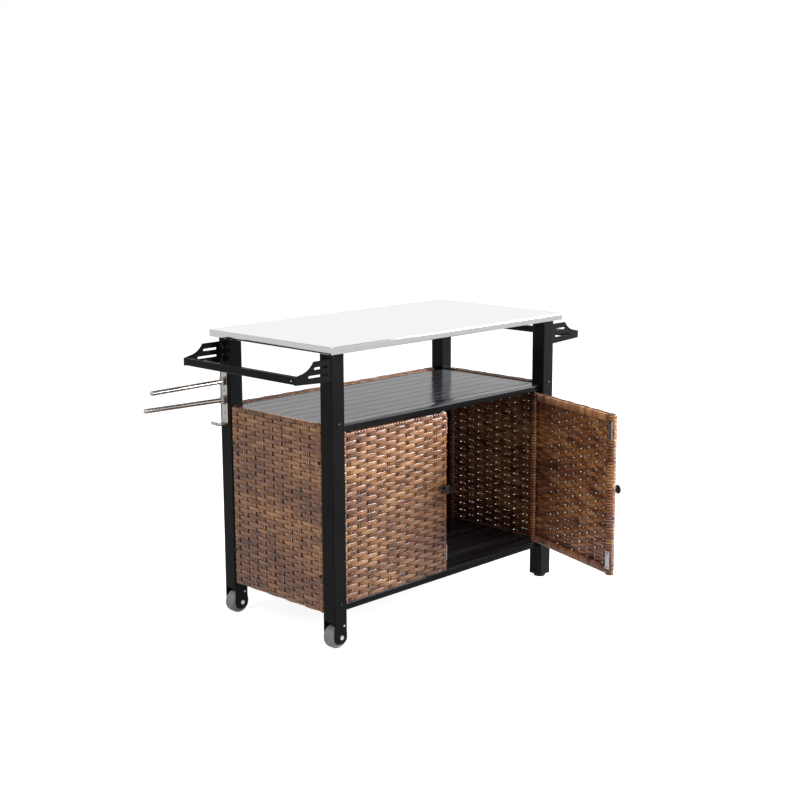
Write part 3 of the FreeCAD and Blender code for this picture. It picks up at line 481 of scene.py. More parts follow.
def wrapped_bar_tree():
    tree, given = start_tree("wrapped_bar", Length="size", Wide="size", Deep="size", Pitch="size",
                             Band="size", Thick="size", Strand="size")
    turns = calc(tree, "DIVIDE", given["Length"], given["Pitch"])
    count = calc(tree, "ROUND", calc(tree, "MULTIPLY", turns, POINTS_PER_TURN))
    points = put(tree, "GeometryNodeMeshLine", {"Count": count, "Offset": (0, 0, 0.001)})
    number = put(tree, "GeometryNodeInputIndex").outputs[0]
    turn = calc(tree, "DIVIDE", number, POINTS_PER_TURN)
    angle = calc(tree, "MULTIPLY", turn, math.tau)
    half_wide = calc(tree, "MULTIPLY", calc(tree, "SUBTRACT", given["Wide"], given["Thick"]), 0.5)
    half_deep = calc(tree, "MULTIPLY", calc(tree, "SUBTRACT", given["Deep"], given["Thick"]), 0.5)
    x = calc(tree, "MULTIPLY", squared_off(tree, calc(tree, "COSINE", angle)), half_wide)
    y = calc(tree, "MULTIPLY", squared_off(tree, calc(tree, "SINE", angle)), half_deep)
    z = calc(tree, "MULTIPLY", turn, given["Pitch"])
    wound = moved(tree, points.outputs[0], joined(tree, x, y, z))
    curve = put(tree, "GeometryNodeMeshToCurve", {0: wound}).outputs[0]
    curve = noted(tree, curve, "along", calc(tree, "MULTIPLY", z, LENGTH_PER_RISE))
    runs = calc(tree, "MULTIPLY", calc(tree, "FLOOR", calc(tree, "DIVIDE", turn, TURNS_PER_RUN)), RUN_STEP)
    turns_apart = calc(tree, "MULTIPLY", calc(tree, "FLOOR", turn), TURN_STEP)
    dyed = calc(tree, "ADD", given["Strand"], calc(tree, "ADD", runs, turns_apart))
    curve = noted(tree, curve, "strand", dyed)
    band = banded(tree, curve, given["Thick"], given["Band"], WRAP_SIDES, False)
    inner = {"Width": calc(tree, "SUBTRACT", given["Wide"], CORE_INSET),
             "Height": calc(tree, "SUBTRACT", given["Deep"], CORE_INSET)}
    section = put(tree, "GeometryNodeCurvePrimitiveQuadrilateral", inner).outputs[0]
    middle = put(tree, "GeometryNodeCurvePrimitiveLine", {"End": joined(tree, 0.0, 0.0, given["Length"])})
    core = put(tree, "GeometryNodeCurveToMesh",
               {"Curve": middle.outputs[0], "Profile Curve": section, "Fill Caps": True}).outputs[0]
    # Painted shade: the core is marked to be painted near black, for the shade between the wraps.
    both = put(tree, "GeometryNodeJoinGeometry", {0: noted(tree, core, "dark", 1.0)})
    tree.links.new(band, both.inputs[0])
    end_tree(tree, both.outputs[0])
    return tree


WRAPPED_BAR = wrapped_bar_tree()
print("wrapped bar:", len(WRAPPED_BAR.nodes), "nodes")

# %% [markdown]
# ## Rows of a woven panel
#
# The skin is a plain weave. Upright stakes stand in pairs, and rows of strand go over one stake and
# under the next, each row the other way round from its neighbours. So one cosine places every row:
# its phase moves half a turn from stake to stake and half a turn from row to row. Just before a row
# goes under a stake it is pulled down a little, which opens the small gaps that real wicker shows.
# At both ends it turns round the frame's front edge and tucks in.

# %% Rows that follow the cosine
SEGMENT = 0.006
EDGE_TURN = 0.0045
TUCK = 0.0085
EDGE_FADE = 0.010
DIVE = 2.4
BESIDE_STAKE = 1.80
NOTCH_SPREAD = 0.2
NOTCH = 0.0016
ROW_SHAKE = 0.0016
ROW_SHAKE_SCALE = 30.0
ROW_SIDES = 8


def strand_lines(tree, given, pitch):
    """Straight strands, one to a row, from one tucked end to the other."""
    first_row = joined(tree, 0.0, 0.0, calc(tree, "MULTIPLY", pitch, 0.5))
    rows = put(tree, "GeometryNodeMeshLine",
               {"Count": given["Rows"], "Start Location": first_row, "Offset": joined(tree, 0.0, 0.0, pitch)})
    line = put(tree, "GeometryNodeCurvePrimitiveLine",
               {"Start": (-TUCK, 0, 0), "End": joined(tree, calc(tree, "ADD", given["Width"], TUCK))})
    count = calc(tree, "DIVIDE", calc(tree, "ADD", given["Width"], TUCK * 2), SEGMENT)
    fine = put(tree, "GeometryNodeResampleCurve", {"Curve": line.outputs[0], "Count": count})
    copies = put(tree, "GeometryNodeInstanceOnPoints", {"Points": rows.outputs[0], "Instance": fine.outputs[0]})
    return put(tree, "GeometryNodeRealizeInstances", {0: copies.outputs[0]}).outputs[0]


def turned_ends(tree, run, low, high):
    """Splits the run along a row into its flat part, a step out round the edge and a step in."""
    flat = calc(tree, "MINIMUM", calc(tree, "MAXIMUM", run, low), high)
    past = calc(tree, "SUBTRACT", run, flat)
    beyond = calc(tree, "ABSOLUTE", past)
    bend = calc(tree, "MINIMUM", calc(tree, "DIVIDE", beyond, EDGE_TURN), math.pi / 2)
    out = calc(tree, "MULTIPLY", calc(tree, "MULTIPLY", calc(tree, "SINE", bend), EDGE_TURN),
               calc(tree, "SIGN", past))
    turned_in = calc(tree, "MULTIPLY", calc(tree, "SUBTRACT", 1.0, calc(tree, "COSINE", bend)), EDGE_TURN)
    straight = calc(tree, "MAXIMUM", calc(tree, "SUBTRACT", beyond, EDGE_TURN * math.pi / 2), 0.0)
    return flat, out, calc(tree, "ADD", turned_in, straight)


def woven_rows(tree, given):
    width, thick = given["Width"], given["Thick"]
    pitch = calc(tree, "DIVIDE", given["Height"], given["Rows"])
    strands = strand_lines(tree, given, pitch)
    run, _, height = place_parts(tree)
    row = calc(tree, "FLOOR", calc(tree, "DIVIDE", height, pitch))
    strands = noted(tree, noted(tree, strands, "along", run), "strand", row)
    inset = calc(tree, "MULTIPLY", thick, 0.5)
    low = calc(tree, "ADD", inset, EDGE_TURN)
    high = calc(tree, "SUBTRACT", width, low)
    flat, out, inward = turned_ends(tree, run, low, high)
    stakes = calc(tree, "DIVIDE", calc(tree, "SUBTRACT", flat, given["First"]), given["Spacing"])
    phase = calc(tree, "ADD", calc(tree, "ADD", stakes, row), given["Parity"])
    swing = calc(tree, "SUBTRACT", 1.0, calc(tree, "COSINE", calc(tree, "MULTIPLY", phase, math.pi)))
    from_edge = calc(tree, "MINIMUM", calc(tree, "SUBTRACT", flat, low), calc(tree, "SUBTRACT", high, flat))
    fade = calc(tree, "MINIMUM", calc(tree, "DIVIDE", from_edge, EDGE_FADE), 1.0)
    dived = calc(tree, "MULTIPLY", calc(tree, "POWER", calc(tree, "MULTIPLY", swing, 0.5), DIVE), 2.0)
    wave = calc(tree, "MULTIPLY", calc(tree, "MULTIPLY", dived, given["Wave"]), fade)
    depth = calc(tree, "ADD", calc(tree, "ADD", wave, inset), inward)
    beside = calc(tree, "ABSOLUTE", calc(tree, "SUBTRACT", swing, BESIDE_STAKE))
    notch = calc(tree, "MAXIMUM", calc(tree, "SUBTRACT", 1.0, calc(tree, "DIVIDE", beside, NOTCH_SPREAD)), 0.0)
    level = calc(tree, "SUBTRACT", height, calc(tree, "MULTIPLY", notch, NOTCH))
    laid = moved(tree, strands, joined(tree, calc(tree, "ADD", flat, out), depth, level))
    loose = shaken(tree, laid, ROW_SHAKE_SCALE, ROW_SHAKE, given["Seed"])
    band = calc(tree, "MULTIPLY", pitch, given["Packing"])
    return banded(tree, loose, thick, band, ROW_SIDES, False, True)


print("each row has a point every", SEGMENT * 1000, "mm")

# %% [markdown]
# ## Stakes of a woven panel
#
# The stakes are the uprights that the rows go round. They stand in pairs, so a point's number is
# halved to tell the pair and its rest tells the side. They can be seen in the gaps between rows and
# from behind, so they are made whole and not only where a gap shows them.

# %% Stakes in pairs
STAKE_FORWARD = 0.30
STAKE_APART = 1.10
STAKE_POINTS = 26
STAKE_SHAKE = 0.0012
STAKE_SHAKE_SCALE = 14.0
STAKE_SIDES = 6
FIRST_STAKE_NUMBER = 200.0


def upright_stakes(tree, given):
    double = calc(tree, "MULTIPLY", given["Stakes"], 2.0)
    points = put(tree, "GeometryNodeMeshLine", {"Count": double, "Offset": (0.001, 0, 0)}).outputs[0]
    number = put(tree, "GeometryNodeInputIndex").outputs[0]
    stake = calc(tree, "FLOOR", calc(tree, "DIVIDE", number, 2.0))
    side = calc(tree, "SUBTRACT", calc(tree, "MODULO", number, 2.0), 0.5)
    x = calc(tree, "ADD", calc(tree, "ADD", given["First"], calc(tree, "MULTIPLY", stake, given["Spacing"])),
             calc(tree, "MULTIPLY", calc(tree, "MULTIPLY", side, STAKE_APART), given["Stake Band"]))
    depth = calc(tree, "ADD", calc(tree, "MULTIPLY", given["Thick"], 0.5),
                 calc(tree, "MULTIPLY", given["Wave"], STAKE_FORWARD))
    points = noted(tree, moved(tree, points, joined(tree, x, depth, 0.0005)), "strand",
                   calc(tree, "ADD", number, FIRST_STAKE_NUMBER))
    line = put(tree, "GeometryNodeCurvePrimitiveLine",
               {"End": joined(tree, 0.0, 0.0, calc(tree, "SUBTRACT", given["Height"], 0.001))})
    fine = put(tree, "GeometryNodeResampleCurve", {"Curve": line.outputs[0], "Count": STAKE_POINTS})
    fine = noted(tree, fine.outputs[0], "along", place_parts(tree)[2])
    copies = put(tree, "GeometryNodeInstanceOnPoints", {"Points": points, "Instance": fine})
    stakes = put(tree, "GeometryNodeRealizeInstances", {0: copies.outputs[0]}).outputs[0]
    loose = shaken(tree, stakes, STAKE_SHAKE_SCALE, STAKE_SHAKE, given["Seed"])
    # Painted light and shade: the stakes are marked to be painted lighter on the fixed panels and darker on the
    # doors.
    painted_stakes = noted(tree, loose, "bright", given["Pale"])
    return banded(tree, painted_stakes, given["Thick"], given["Stake Band"], STAKE_SIDES, True)


print("stakes have", STAKE_POINTS, "points each")

# %% [markdown]
# ## The whole panel
#
# Four wound bars stand behind the rows as the panel's frame, and a slim one runs along the top edge
# in front of them, where real wicker is bound off. Then rows, stakes and bars are joined, and the
# finish is set on all of them at once.

# %% The woven panel's tree
BORDER_WIDE = 0.025
BORDER_DEEP = 0.0126
BORDER_FRONT = 0.0072
# Painted light: the wound bars are painted half again as light as the rows, for the light that falls on them.
BORDER_PAINTED_LIGHT = 0.5
BORDER_WRAP = {"Wide": BORDER_WIDE - 0.0008, "Deep": BORDER_DEEP, "Pitch": 0.0088, "Band": 0.0080,
               "Thick": 0.0040}
FRINGE_TALL = 0.0066
FRINGE_DEEP = 0.0050
FRINGE_SHORT = 0.002
FRINGE_BELOW = 0.0004
FRINGE_WRAP = {"Wide": FRINGE_TALL, "Deep": FRINGE_DEEP, "Pitch": 0.0110, "Band": 0.0074, "Thick": 0.0022}


def border_bar(tree, length, place, flat, strand, wrap=BORDER_WRAP):
    bar = put(tree, "GeometryNodeGroup", node_tree=WRAPPED_BAR)
    for name, value in {**wrap, "Strand": strand}.items():
        bar.inputs[name].default_value = value
    tree.links.new(length, bar.inputs["Length"])
    turn = (0, math.pi / 2, 0) if flat else (0, 0, 0)
    # Painted light: every wound bar is marked to be painted lighter than the rows.
    shape = noted(tree, bar.outputs[0], "bright", BORDER_PAINTED_LIGHT)
    return put(tree, "GeometryNodeTransform", {0: shape, "Translation": place, "Rotation": turn}).outputs[0]


def woven_panel_tree():
    tree, given = start_tree(
        "woven_panel", Width="size", Height="size", Rows="count", Stakes="count", First="size",
        Spacing="size", Packing="size", Thick="size", Wave="size", **{"Stake Band": "size"},
        Parity="count", Pale="size", Seed="size", Finish="material")
    middle_y = BORDER_FRONT + BORDER_DEEP / 2
    half = BORDER_WIDE / 2
    across = calc(tree, "SUBTRACT", given["Width"], BORDER_WIDE * 2)
    right = calc(tree, "SUBTRACT", given["Width"], half)
    top = calc(tree, "SUBTRACT", given["Height"], half)
    fringe = calc(tree, "SUBTRACT", given["Height"], FRINGE_TALL / 2 + FRINGE_BELOW)
    fringe_long = calc(tree, "SUBTRACT", given["Width"], FRINGE_SHORT * 2)
    fringe_place = joined(tree, FRINGE_SHORT, FRINGE_DEEP / 2, fringe)
    parts = [
        woven_rows(tree, given),
        upright_stakes(tree, given),
        border_bar(tree, given["Height"], joined(tree, half, middle_y), False, 301.0),
        border_bar(tree, given["Height"], joined(tree, right, middle_y), False, 302.0),
        border_bar(tree, across, joined(tree, BORDER_WIDE, middle_y, half), True, 303.0),
        border_bar(tree, across, joined(tree, BORDER_WIDE, middle_y, top), True, 304.0),
        border_bar(tree, fringe_long, fringe_place, True, 305.0, FRINGE_WRAP),
    ]
    whole = tree.nodes.new("GeometryNodeJoinGeometry")
    for part in parts:
        tree.links.new(part, whole.inputs[0])
    end_tree(tree, whole.outputs[0], given["Finish"])
    return tree


WOVEN_PANEL = woven_panel_tree()
print("woven panel:", len(WOVEN_PANEL.nodes), "nodes")

# %% [markdown]
# ## Placing the panels
#
# The tree makes every panel face the same way: X runs along it, Z up and the outer face is at Y = 0.
# A matrix then carries each one to its place. The two doors are mirror images, and the right one
# stands open, so it is made closed and turned about its hinge by the angle the joint records.
# The stakes are painted lighter than the rows on the fixed panels, as painted light, and darker on the doors,
# as painted shade.

# %% Wicker panels and doors
def joint(name):
    return next(entry for entry in frame["joints"] if entry["name"] == name)


def show(name, mesh, body, slot, *nodes):
    mesh.name = name
    piece = bpy.data.objects.new(name, mesh)
    bpy.context.collection.objects.link(piece)
    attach(piece, body)
    if nodes:
        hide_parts(*nodes)
    return piece


def turned_place(place, degrees):
    return Matrix.Translation(place) @ Matrix.Rotation(math.radians(degrees), 4, "Z")


def door_places():
    low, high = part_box("left_door_weave")
    wide = high.x - low.x
    hinge = joint("right_door_hinge")
    pivot = Vector(hinge["pos_m"])
    opened = Matrix.Rotation(math.radians(-hinge["range_deg"][0]), 4, "Z")
    closed = Matrix.Translation((-high.x, low.y, low.z))
    right = Matrix.Translation(pivot) @ opened @ Matrix.Translation(-pivot) @ closed
    return wide, high.z - low.z, Matrix.Translation((low.x, low.y, low.z)), right


DOOR_WIDE, DOOR_TALL, LEFT_DOOR_PLACE, RIGHT_DOOR_PLACE = door_places()
SIDE_LOW, SIDE_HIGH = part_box("left_panel_weave")
REAR_LOW, REAR_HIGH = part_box("rear_panel_weave")
SIDE_WIDE = SIDE_HIGH.y - SIDE_LOW.y
SIDE_TALL = SIDE_HIGH.z - SIDE_LOW.z
REAR_WIDE = REAR_HIGH.x - REAR_LOW.x
DOOR_ROWS = 40
DOOR_STAKES = 11
DOOR_SPACING = 0.0393
DOOR_FIRST = 0.0272
DOOR_LAST = DOOR_WIDE - DOOR_FIRST - (DOOR_STAKES - 1) * DOOR_SPACING
PANEL_ROWS = 45
SIDE_STAKES = 10
REAR_STAKES = 22
PANEL_SPACING = 0.0399
SIDE_FIRST = (SIDE_WIDE - (SIDE_STAKES - 1) * PANEL_SPACING) / 2
REAR_FIRST = (REAR_WIDE - (REAR_STAKES - 1) * PANEL_SPACING) / 2
STRAND = {"Packing": 1.10, "Thick": 0.0034, "Wave": 0.0027, "Stake Band": 0.0066}
# Painted shade on the doors' stakes, which stand in shade, and painted light on the fixed panels' stakes.
DOOR_STAKE_PAINTED_SHADE = -0.3
PANEL_STAKE_PAINTED_LIGHT = 0.5


def door_skin(place, first):
    return place, {"Width": DOOR_WIDE, "Height": DOOR_TALL, "Rows": DOOR_ROWS, "Stakes": DOOR_STAKES,
                   "First": first, "Spacing": DOOR_SPACING, "Pale": DOOR_STAKE_PAINTED_SHADE}


def fixed_skin(corner, degrees, wide, stakes, first):
    return turned_place(corner, degrees), {"Width": wide, "Height": SIDE_TALL, "Rows": PANEL_ROWS,
                                           "Stakes": stakes, "First": first,
                                           "Spacing": PANEL_SPACING, "Pale": PANEL_STAKE_PAINTED_LIGHT}


PANELS = {
    "left_door": door_skin(LEFT_DOOR_PLACE, DOOR_FIRST),
    "right_door": door_skin(RIGHT_DOOR_PLACE, DOOR_LAST),
    "left_panel": fixed_skin((SIDE_LOW.x, SIDE_HIGH.y, SIDE_LOW.z), -90, SIDE_WIDE, SIDE_STAKES, SIDE_FIRST),
    "right_panel": fixed_skin((-SIDE_LOW.x, SIDE_LOW.y, SIDE_LOW.z), 90, SIDE_WIDE, SIDE_STAKES, SIDE_FIRST),
    "rear_panel": fixed_skin((REAR_HIGH.x, REAR_HIGH.y, REAR_LOW.z), 180, REAR_WIDE, REAR_STAKES, REAR_FIRST),
}


def outward(mesh):
    work = bmesh.new()
    work.from_mesh(mesh)
    inside_out = work.calc_volume(signed=True) < 0
    work.free()
    if inside_out:
        mesh.flip_normals()
    return inside_out


for number, (name, (place, sizes)) in enumerate(PANELS.items()):
    mesh = grown(WOVEN_PANEL, Parity=(sizes["Rows"] - 1) % 2, Seed=float(number),
                 Finish=FINISHES["wicker"], **sizes, **STRAND)
    flipped = outward(mesh)
    mesh.transform(place)
    body = name if name.endswith("door") else "cart"
    show(name + "_wicker", mesh, body, "wicker", name + "_weave", name + "_frame")
    print(name, "faces", len(mesh.polygons), "flipped", flipped)

# %% [markdown]
# ## Paint, plastic and rubber
#
# The frame is powder coated: a satin black with a fine orange peel. The shelf and the cabinet floor
# are a glossier black, and their sheet is a little wavy, which breaks up what they mirror. Their
# colour is also streaked paler along the length, as a painted reflection of the streaks they mirror.
# A coated surface is dark whatever its gloss, so most of its look comes from roughness and the bump.
# One function makes them all, since rubber and plastic differ from paint only in these few numbers.

# %% Coated finishes
def coated(name, colour, rough, shine, peel_scale, peel_depth, streaks=(7.0, 7.0, 7.0), pale=1.25):
    made, tree = new_tree(name)
    peel = speckle(tree, (peel_scale, peel_scale, peel_scale), 2.0)
    wander = speckle(tree, streaks, 3.0)
    # The paler part is a random tone on most coats; on the gloss black it is a painted reflection.
    dark_part, pale_tone_and_painted_reflection = (tuple(v * share for v in colour) for share in (0.8, pale))
    tinted = ramp(tree, wander, [(0.3, dark_part), (0.7, pale_tone_and_painted_reflection)])
    shaded(tree, {"Base Color": tinted, "Roughness": between(tree, wander, rough * 0.85, rough * 1.15),
                  "Specular IOR Level": shine, "Normal": bumped(tree, peel, peel_depth)})
    return made


FINISHES["black_steel"] = coated("black_steel", (0.006, 0.006, 0.0065), 0.16, 0.065, 900.0, 0.00002)
# Painted reflection: the gloss black is streaked much paler in colour along the length, for the streaks the
# shelf mirrors.
FINISHES["gloss_black"] = coated("gloss_black", (0.010, 0.010, 0.011), 0.18, 0.16, 9.0, 0.0014,
                                 streaks=(1.6, 30.0, 1.6), pale=7.0)
FINISHES["black_screw"] = coated("black_screw", (0.010, 0.010, 0.011), 0.28, 0.25, 900.0, 0.00003)
FINISHES["grey_rubber"] = coated("grey_rubber", (0.27, 0.27, 0.275), 0.55, 0.3, 500.0, 0.0002)
FINISHES["black_plastic"] = coated("black_plastic", (0.010, 0.010, 0.010), 0.30, 0.25, 300.0, 0.00008)
FINISHES["board"] = coated("board", (0.30, 0.21, 0.13), 0.7, 0.3, 220.0, 0.0004)
print("coats", [name for name in FINISHES if name != "wicker"])

# %% [markdown]
# ## Steel
#
# Brushed steel is a mirror with fine scratches in one direction. The scratches are a noise that is
# stretched hundreds to one along the brushing, and they move both the roughness and the normal.
# The worktop is brushed along its length, and the small plated parts are only slightly uneven. The
# shader's own anisotropy could blur along the brushing too, but it shows no single scratch.

# %% Steel finishes
def brushed(name, colour, low, high, scales, depth):
    made, tree = new_tree(name)
    scratches = speckle(tree, scales, 3.0)
    pale = tuple(min(v * 1.04, 1.0) for v in colour)
    tone = ramp(tree, scratches, [(0.3, tuple(v * 0.94 for v in colour)), (0.7, pale)])
    shaded(tree, {"Base Color": tone, "Metallic": 1.0, "Roughness": between(tree, scratches, low, high),
                  "Normal": bumped(tree, scratches, depth)})
    return made


# Painted light: the top face of the worktop is given a paler steel than its folded edges, though both are one
# sheet.
FINISHES["stainless"] = brushed("stainless", (0.88, 0.88, 0.89), 0.15, 0.27, (3.0, 1400.0, 1400.0), 0.00002)
FINISHES["edge_steel"] = brushed("edge_steel", (0.56, 0.56, 0.57), 0.06, 0.12, (3.0, 3.0, 1400.0), 0.000004)
FINISHES["rod_steel"] = brushed("rod_steel", (0.42, 0.39, 0.365), 0.18, 0.26, (40.0, 40.0, 40.0), 0.00001)
FINISHES["plated_steel"] = brushed("plated_steel", (0.52, 0.53, 0.55), 0.32, 0.50, (60.0, 60.0, 60.0), 0.00005)
print("steels", [name for name in FINISHES if name.endswith("steel")])

# %% [markdown]
# ## Parts that keep their shape
#
# Plates, tubes and sheets are already right as they come in: legs, brackets, handle bars, decks,
# forks and catches. They only need a finish, so each is named once, under the finish it wears.

# %% Finishes for the parts as they come
CARRIED = {
    "black_steel": ["leg_front_left", "leg_rear_left", "leg_front_right", "leg_rear_right", "mid_left_rail",
                    "mid_right_rail", "floor_left_rail", "floor_right_rail", "panel_spacers",
                    "left_handle_front_bracket", "left_handle_rear_bracket", "left_handle_bar",
                    "right_handle_front_bracket", "right_handle_rear_bracket", "right_handle_bar",
                    "front_fork", "rear_fork", "upper_catch", "lower_catch"],
    "gloss_black": ["mid_deck", "floor_deck"],
    "board": ["worktop_core"],
    "black_plastic": ["hinge_washers", "front_hub", "rear_hub"],
    "rod_steel": ["hanger_plate", "hanger_pins"],
    "plated_steel": ["axle_bolts", "axle_nuts", "upper_magnets", "lower_magnets", "left_door_strikes",
                     "right_door_strikes"],
}


def dress(node, finish):
    piece = frame["nodes"][node]
    if not piece.material_slots:
        piece.data.materials.append(None)
    for slot in piece.material_slots:
        slot.material = FINISHES[finish]


for finish, nodes in CARRIED.items():
    for node in nodes:
        dress(node, finish)
print("dressed", sum(len(nodes) for nodes in CARRIED.values()), "nodes")

# %% [markdown]
# ## Worktop skin
#
# The worktop is one stainless sheet folded down at its sides and in again underneath, so its top
# edge is a soft bend and not a sharp corner. It is lofted: the same rounded oblong is drawn many
# times, each a little further in or down, and the loops are joined like a stack of hoops. A box
# with a bevel would look alike from above, but it would have no lip underneath.

# %% Hoops
CORNER_STEPS = 6
LEAST_TURN = 0.0004


def hoop(work, half_x, half_y, radius, inset, height):
    """One rounded oblong of points, this far inside the given half sizes."""
    ring = []
    turn = max(radius - inset, LEAST_TURN)
    for corner, (sx, sy) in enumerate(((1, 1), (-1, 1), (-1, -1), (1, -1))):
        middle = Vector((sx * (half_x - inset - turn), sy * (half_y - inset - turn), height))
        for step in range(CORNER_STEPS):
            angle = math.radians(90 * corner + 90 * step / (CORNER_STEPS - 1))
            ring.append(work.verts.new(middle + Vector((math.cos(angle), math.sin(angle), 0)) * turn))
    return ring


def stacked(work, rings, closed=False):
    """Joins each ring of points to the next one with faces, and the last to the first if closed."""
    pairs = list(zip(rings, rings[1:])) + ([(rings[-1], rings[0])] if closed else [])
    for lower, upper in pairs:
        for n in range(len(lower)):
            m = (n + 1) % len(lower)
            work.faces.new((lower[n], lower[m], upper[m], upper[n]))


def finished(work, name, smooth_below=40):
    """A mesh with its faces outward, smooth where they meet at less than this many degrees."""
    bmesh.ops.recalc_face_normals(work, faces=work.faces)
    mesh = bpy.data.meshes.new(name)
    work.to_mesh(mesh)
    work.free()
    mesh.shade_smooth()
    mesh.set_sharp_from_angle(angle=math.radians(smooth_below))
    return mesh


print("a hoop has", 4 * CORNER_STEPS, "points")

# %% Folded worktop
SHEET = 0.0012
LIP = 0.012
BEND = 0.0016
TOP_CORNER = 0.004
TOP_MARGIN = 0.02


def folded_worktop():
    low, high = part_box("worktop_skin")
    work = bmesh.new()
    outside = [(LIP, low.z), (BEND, low.z), (BEND * 0.3, low.z + BEND * 0.3), (0, low.z + BEND),
               (0, high.z - BEND), (BEND * 0.12, high.z - BEND * 0.5), (BEND * 0.5, high.z - BEND * 0.12),
               (BEND, high.z), (TOP_MARGIN, high.z)]
    inside = [(TOP_MARGIN, high.z - SHEET), (SHEET, high.z - SHEET), (SHEET, low.z + SHEET),
              (LIP, low.z + SHEET)]
    rings = [hoop(work, high.x, high.y, TOP_CORNER, inset, height) for inset, height in outside]
    under = [hoop(work, high.x, high.y, TOP_CORNER, inset, height) for inset, height in inside]
    stacked(work, rings)
    stacked(work, under)
    stacked(work, [under[-1], rings[0]])
    work.faces.new(rings[-1])
    work.faces.new(list(reversed(under[0])))
    mesh = finished(work, "worktop", 50)
    mesh.materials.append(FINISHES["stainless"])
    mesh.materials.append(FINISHES["edge_steel"])
    # Painted light: faces that look up get the paler steel, and the rest the darker one.
    for face in mesh.polygons:
        face.material_index = 0 if face.normal.z > 0.5 else 1
    return mesh


worktop = show("worktop_sheet", folded_worktop(), "cart", "stainless", "worktop_skin")
print("worktop faces", len(worktop.data.polygons))

# %% [markdown]
# ## Front rails
#
# The shelf and the cabinet floor each start with a folded tube between the front legs. Its edges
# are soft bends that catch the light in a thin bright line. Its top carries the glossy coat of the
# shelf, and its front has the satin coat of the frame, so the tube wears two finishes. Its ends are
# open for a short way, as a cut tube's are, and closed further in where nobody looks.

# %% Front rails
RAIL_WALL = 0.0015
RAIL_BEND = 0.0026
RAIL_MOUTH = 0.03
BEND_STEPS = 4


def rounded_section(low, high, bend):
    """Points round a rounded oblong in Y and Z, starting at its top right."""
    corners = [(high.y - bend, high.z - bend), (low.y + bend, high.z - bend),
               (low.y + bend, low.z + bend), (high.y - bend, low.z + bend)]
    points = []
    for corner, (y, z) in enumerate(corners):
        for step in range(BEND_STEPS + 1):
            angle = math.radians(90 * corner + 90 * step / BEND_STEPS)
            points.append((y + bend * math.cos(angle), z + bend * math.sin(angle)))
    return points


def hollow_rail(name, low, high):
    work = bmesh.new()
    shrink = Vector((0, RAIL_WALL, RAIL_WALL))
    outer = rounded_section(low, high, RAIL_BEND)
    inner = rounded_section(low + shrink, high - shrink, RAIL_BEND - RAIL_WALL)
    loops = [(inner, low.x + RAIL_MOUTH), (inner, low.x), (outer, low.x), (outer, high.x), (inner, high.x),
             (inner, high.x - RAIL_MOUTH)]
    rings = [[work.verts.new((x, y, z)) for y, z in section] for section, x in loops]
    stacked(work, rings)
    work.faces.new(rings[0])
    work.faces.new(rings[-1])
    mesh = finished(work, name, 50)
    mesh.materials.append(FINISHES["black_steel"])
    mesh.materials.append(FINISHES["gloss_black"])
    for face in mesh.polygons:
        face.material_index = 1 if face.normal.z > 0.35 else 0
    return mesh


for level in ("mid", "floor"):
    low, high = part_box(level + "_front_rail")
    tube = hollow_rail(level + "_rail_tube", low, high)
    show(level + "_rail_tube", tube, "cart", "gloss_black", level + "_front_rail")
    print(level, "rail faces", len(tube.polygons))

# %% [markdown]
# ## Turned parts
#
# Knobs, tyres, feet and rods are all round, so each is turned from a profile: pairs of radius and
# height, spun about an axis. A profile that starts and ends on the axis closes by itself. Blender's
# own Spin would do it too, but it leaves doubled points on the axis that have to be merged.

# %% Turning a profile
def turned(name, profile, sides=40):
    work = bmesh.new()
    rings = []
    for radius, height in profile:
        if radius < 1e-6:
            rings.append([work.verts.new((0, 0, height))])
        else:
            rings.append([work.verts.new((radius * math.cos(math.tau * n / sides),
                                          radius * math.sin(math.tau * n / sides), height))
                          for n in range(sides)])
    for lower, upper in zip(rings, rings[1:]):
        for n in range(sides):
            m = (n + 1) % sides
            corners = [lower[n % len(lower)], lower[m % len(lower)],
                       upper[m % len(upper)], upper[n % len(upper)]]
            work.faces.new(list(dict.fromkeys(corners)))
    return finished(work, name, 35)


def rounded(radius, height, bend, up):
    """Profile points of a rounded corner at this radius and height, turning in if up, else out."""
    points = []
    for step in range(BEND_STEPS + 1):
        angle = math.radians(90 * step / BEND_STEPS)
        if up:
            points.append((radius - bend + bend * math.cos(angle), height - bend + bend * math.sin(angle)))
        else:
            points.append((radius - bend + bend * math.sin(angle), height + bend - bend * math.cos(angle)))
    return points


def aimed(place, direction):
    """A matrix that carries local Z to this direction and the origin to this place."""
    quaternion = Vector(direction).to_track_quat("Z", "Y")
    return Matrix.Translation(place) @ quaternion.to_matrix().to_4x4()


def place_turned(name, profile, matrix, body, slot, *nodes, sides):
    mesh = turned(name, profile, sides)
    mesh.transform(matrix)
    mesh.materials.append(FINISHES[slot])
    return show(name, mesh, body, slot, *nodes)


def merged(name, meshes):
    work = bmesh.new()
    for mesh in meshes:
        work.from_mesh(mesh)
    joined_mesh = bpy.data.meshes.new(name)
    work.to_mesh(joined_mesh)
    work.free()
    return joined_mesh


print("turning helpers", [helper.__name__ for helper in (turned, rounded, aimed, place_turned, merged)])

# %% [markdown]
# ## Knobs
#
# Each door has one black knob near its free edge: a thin stem that widens to a soft mushroom. The
# profile is a list of points and not a rule, because a moulded knob has no one radius.

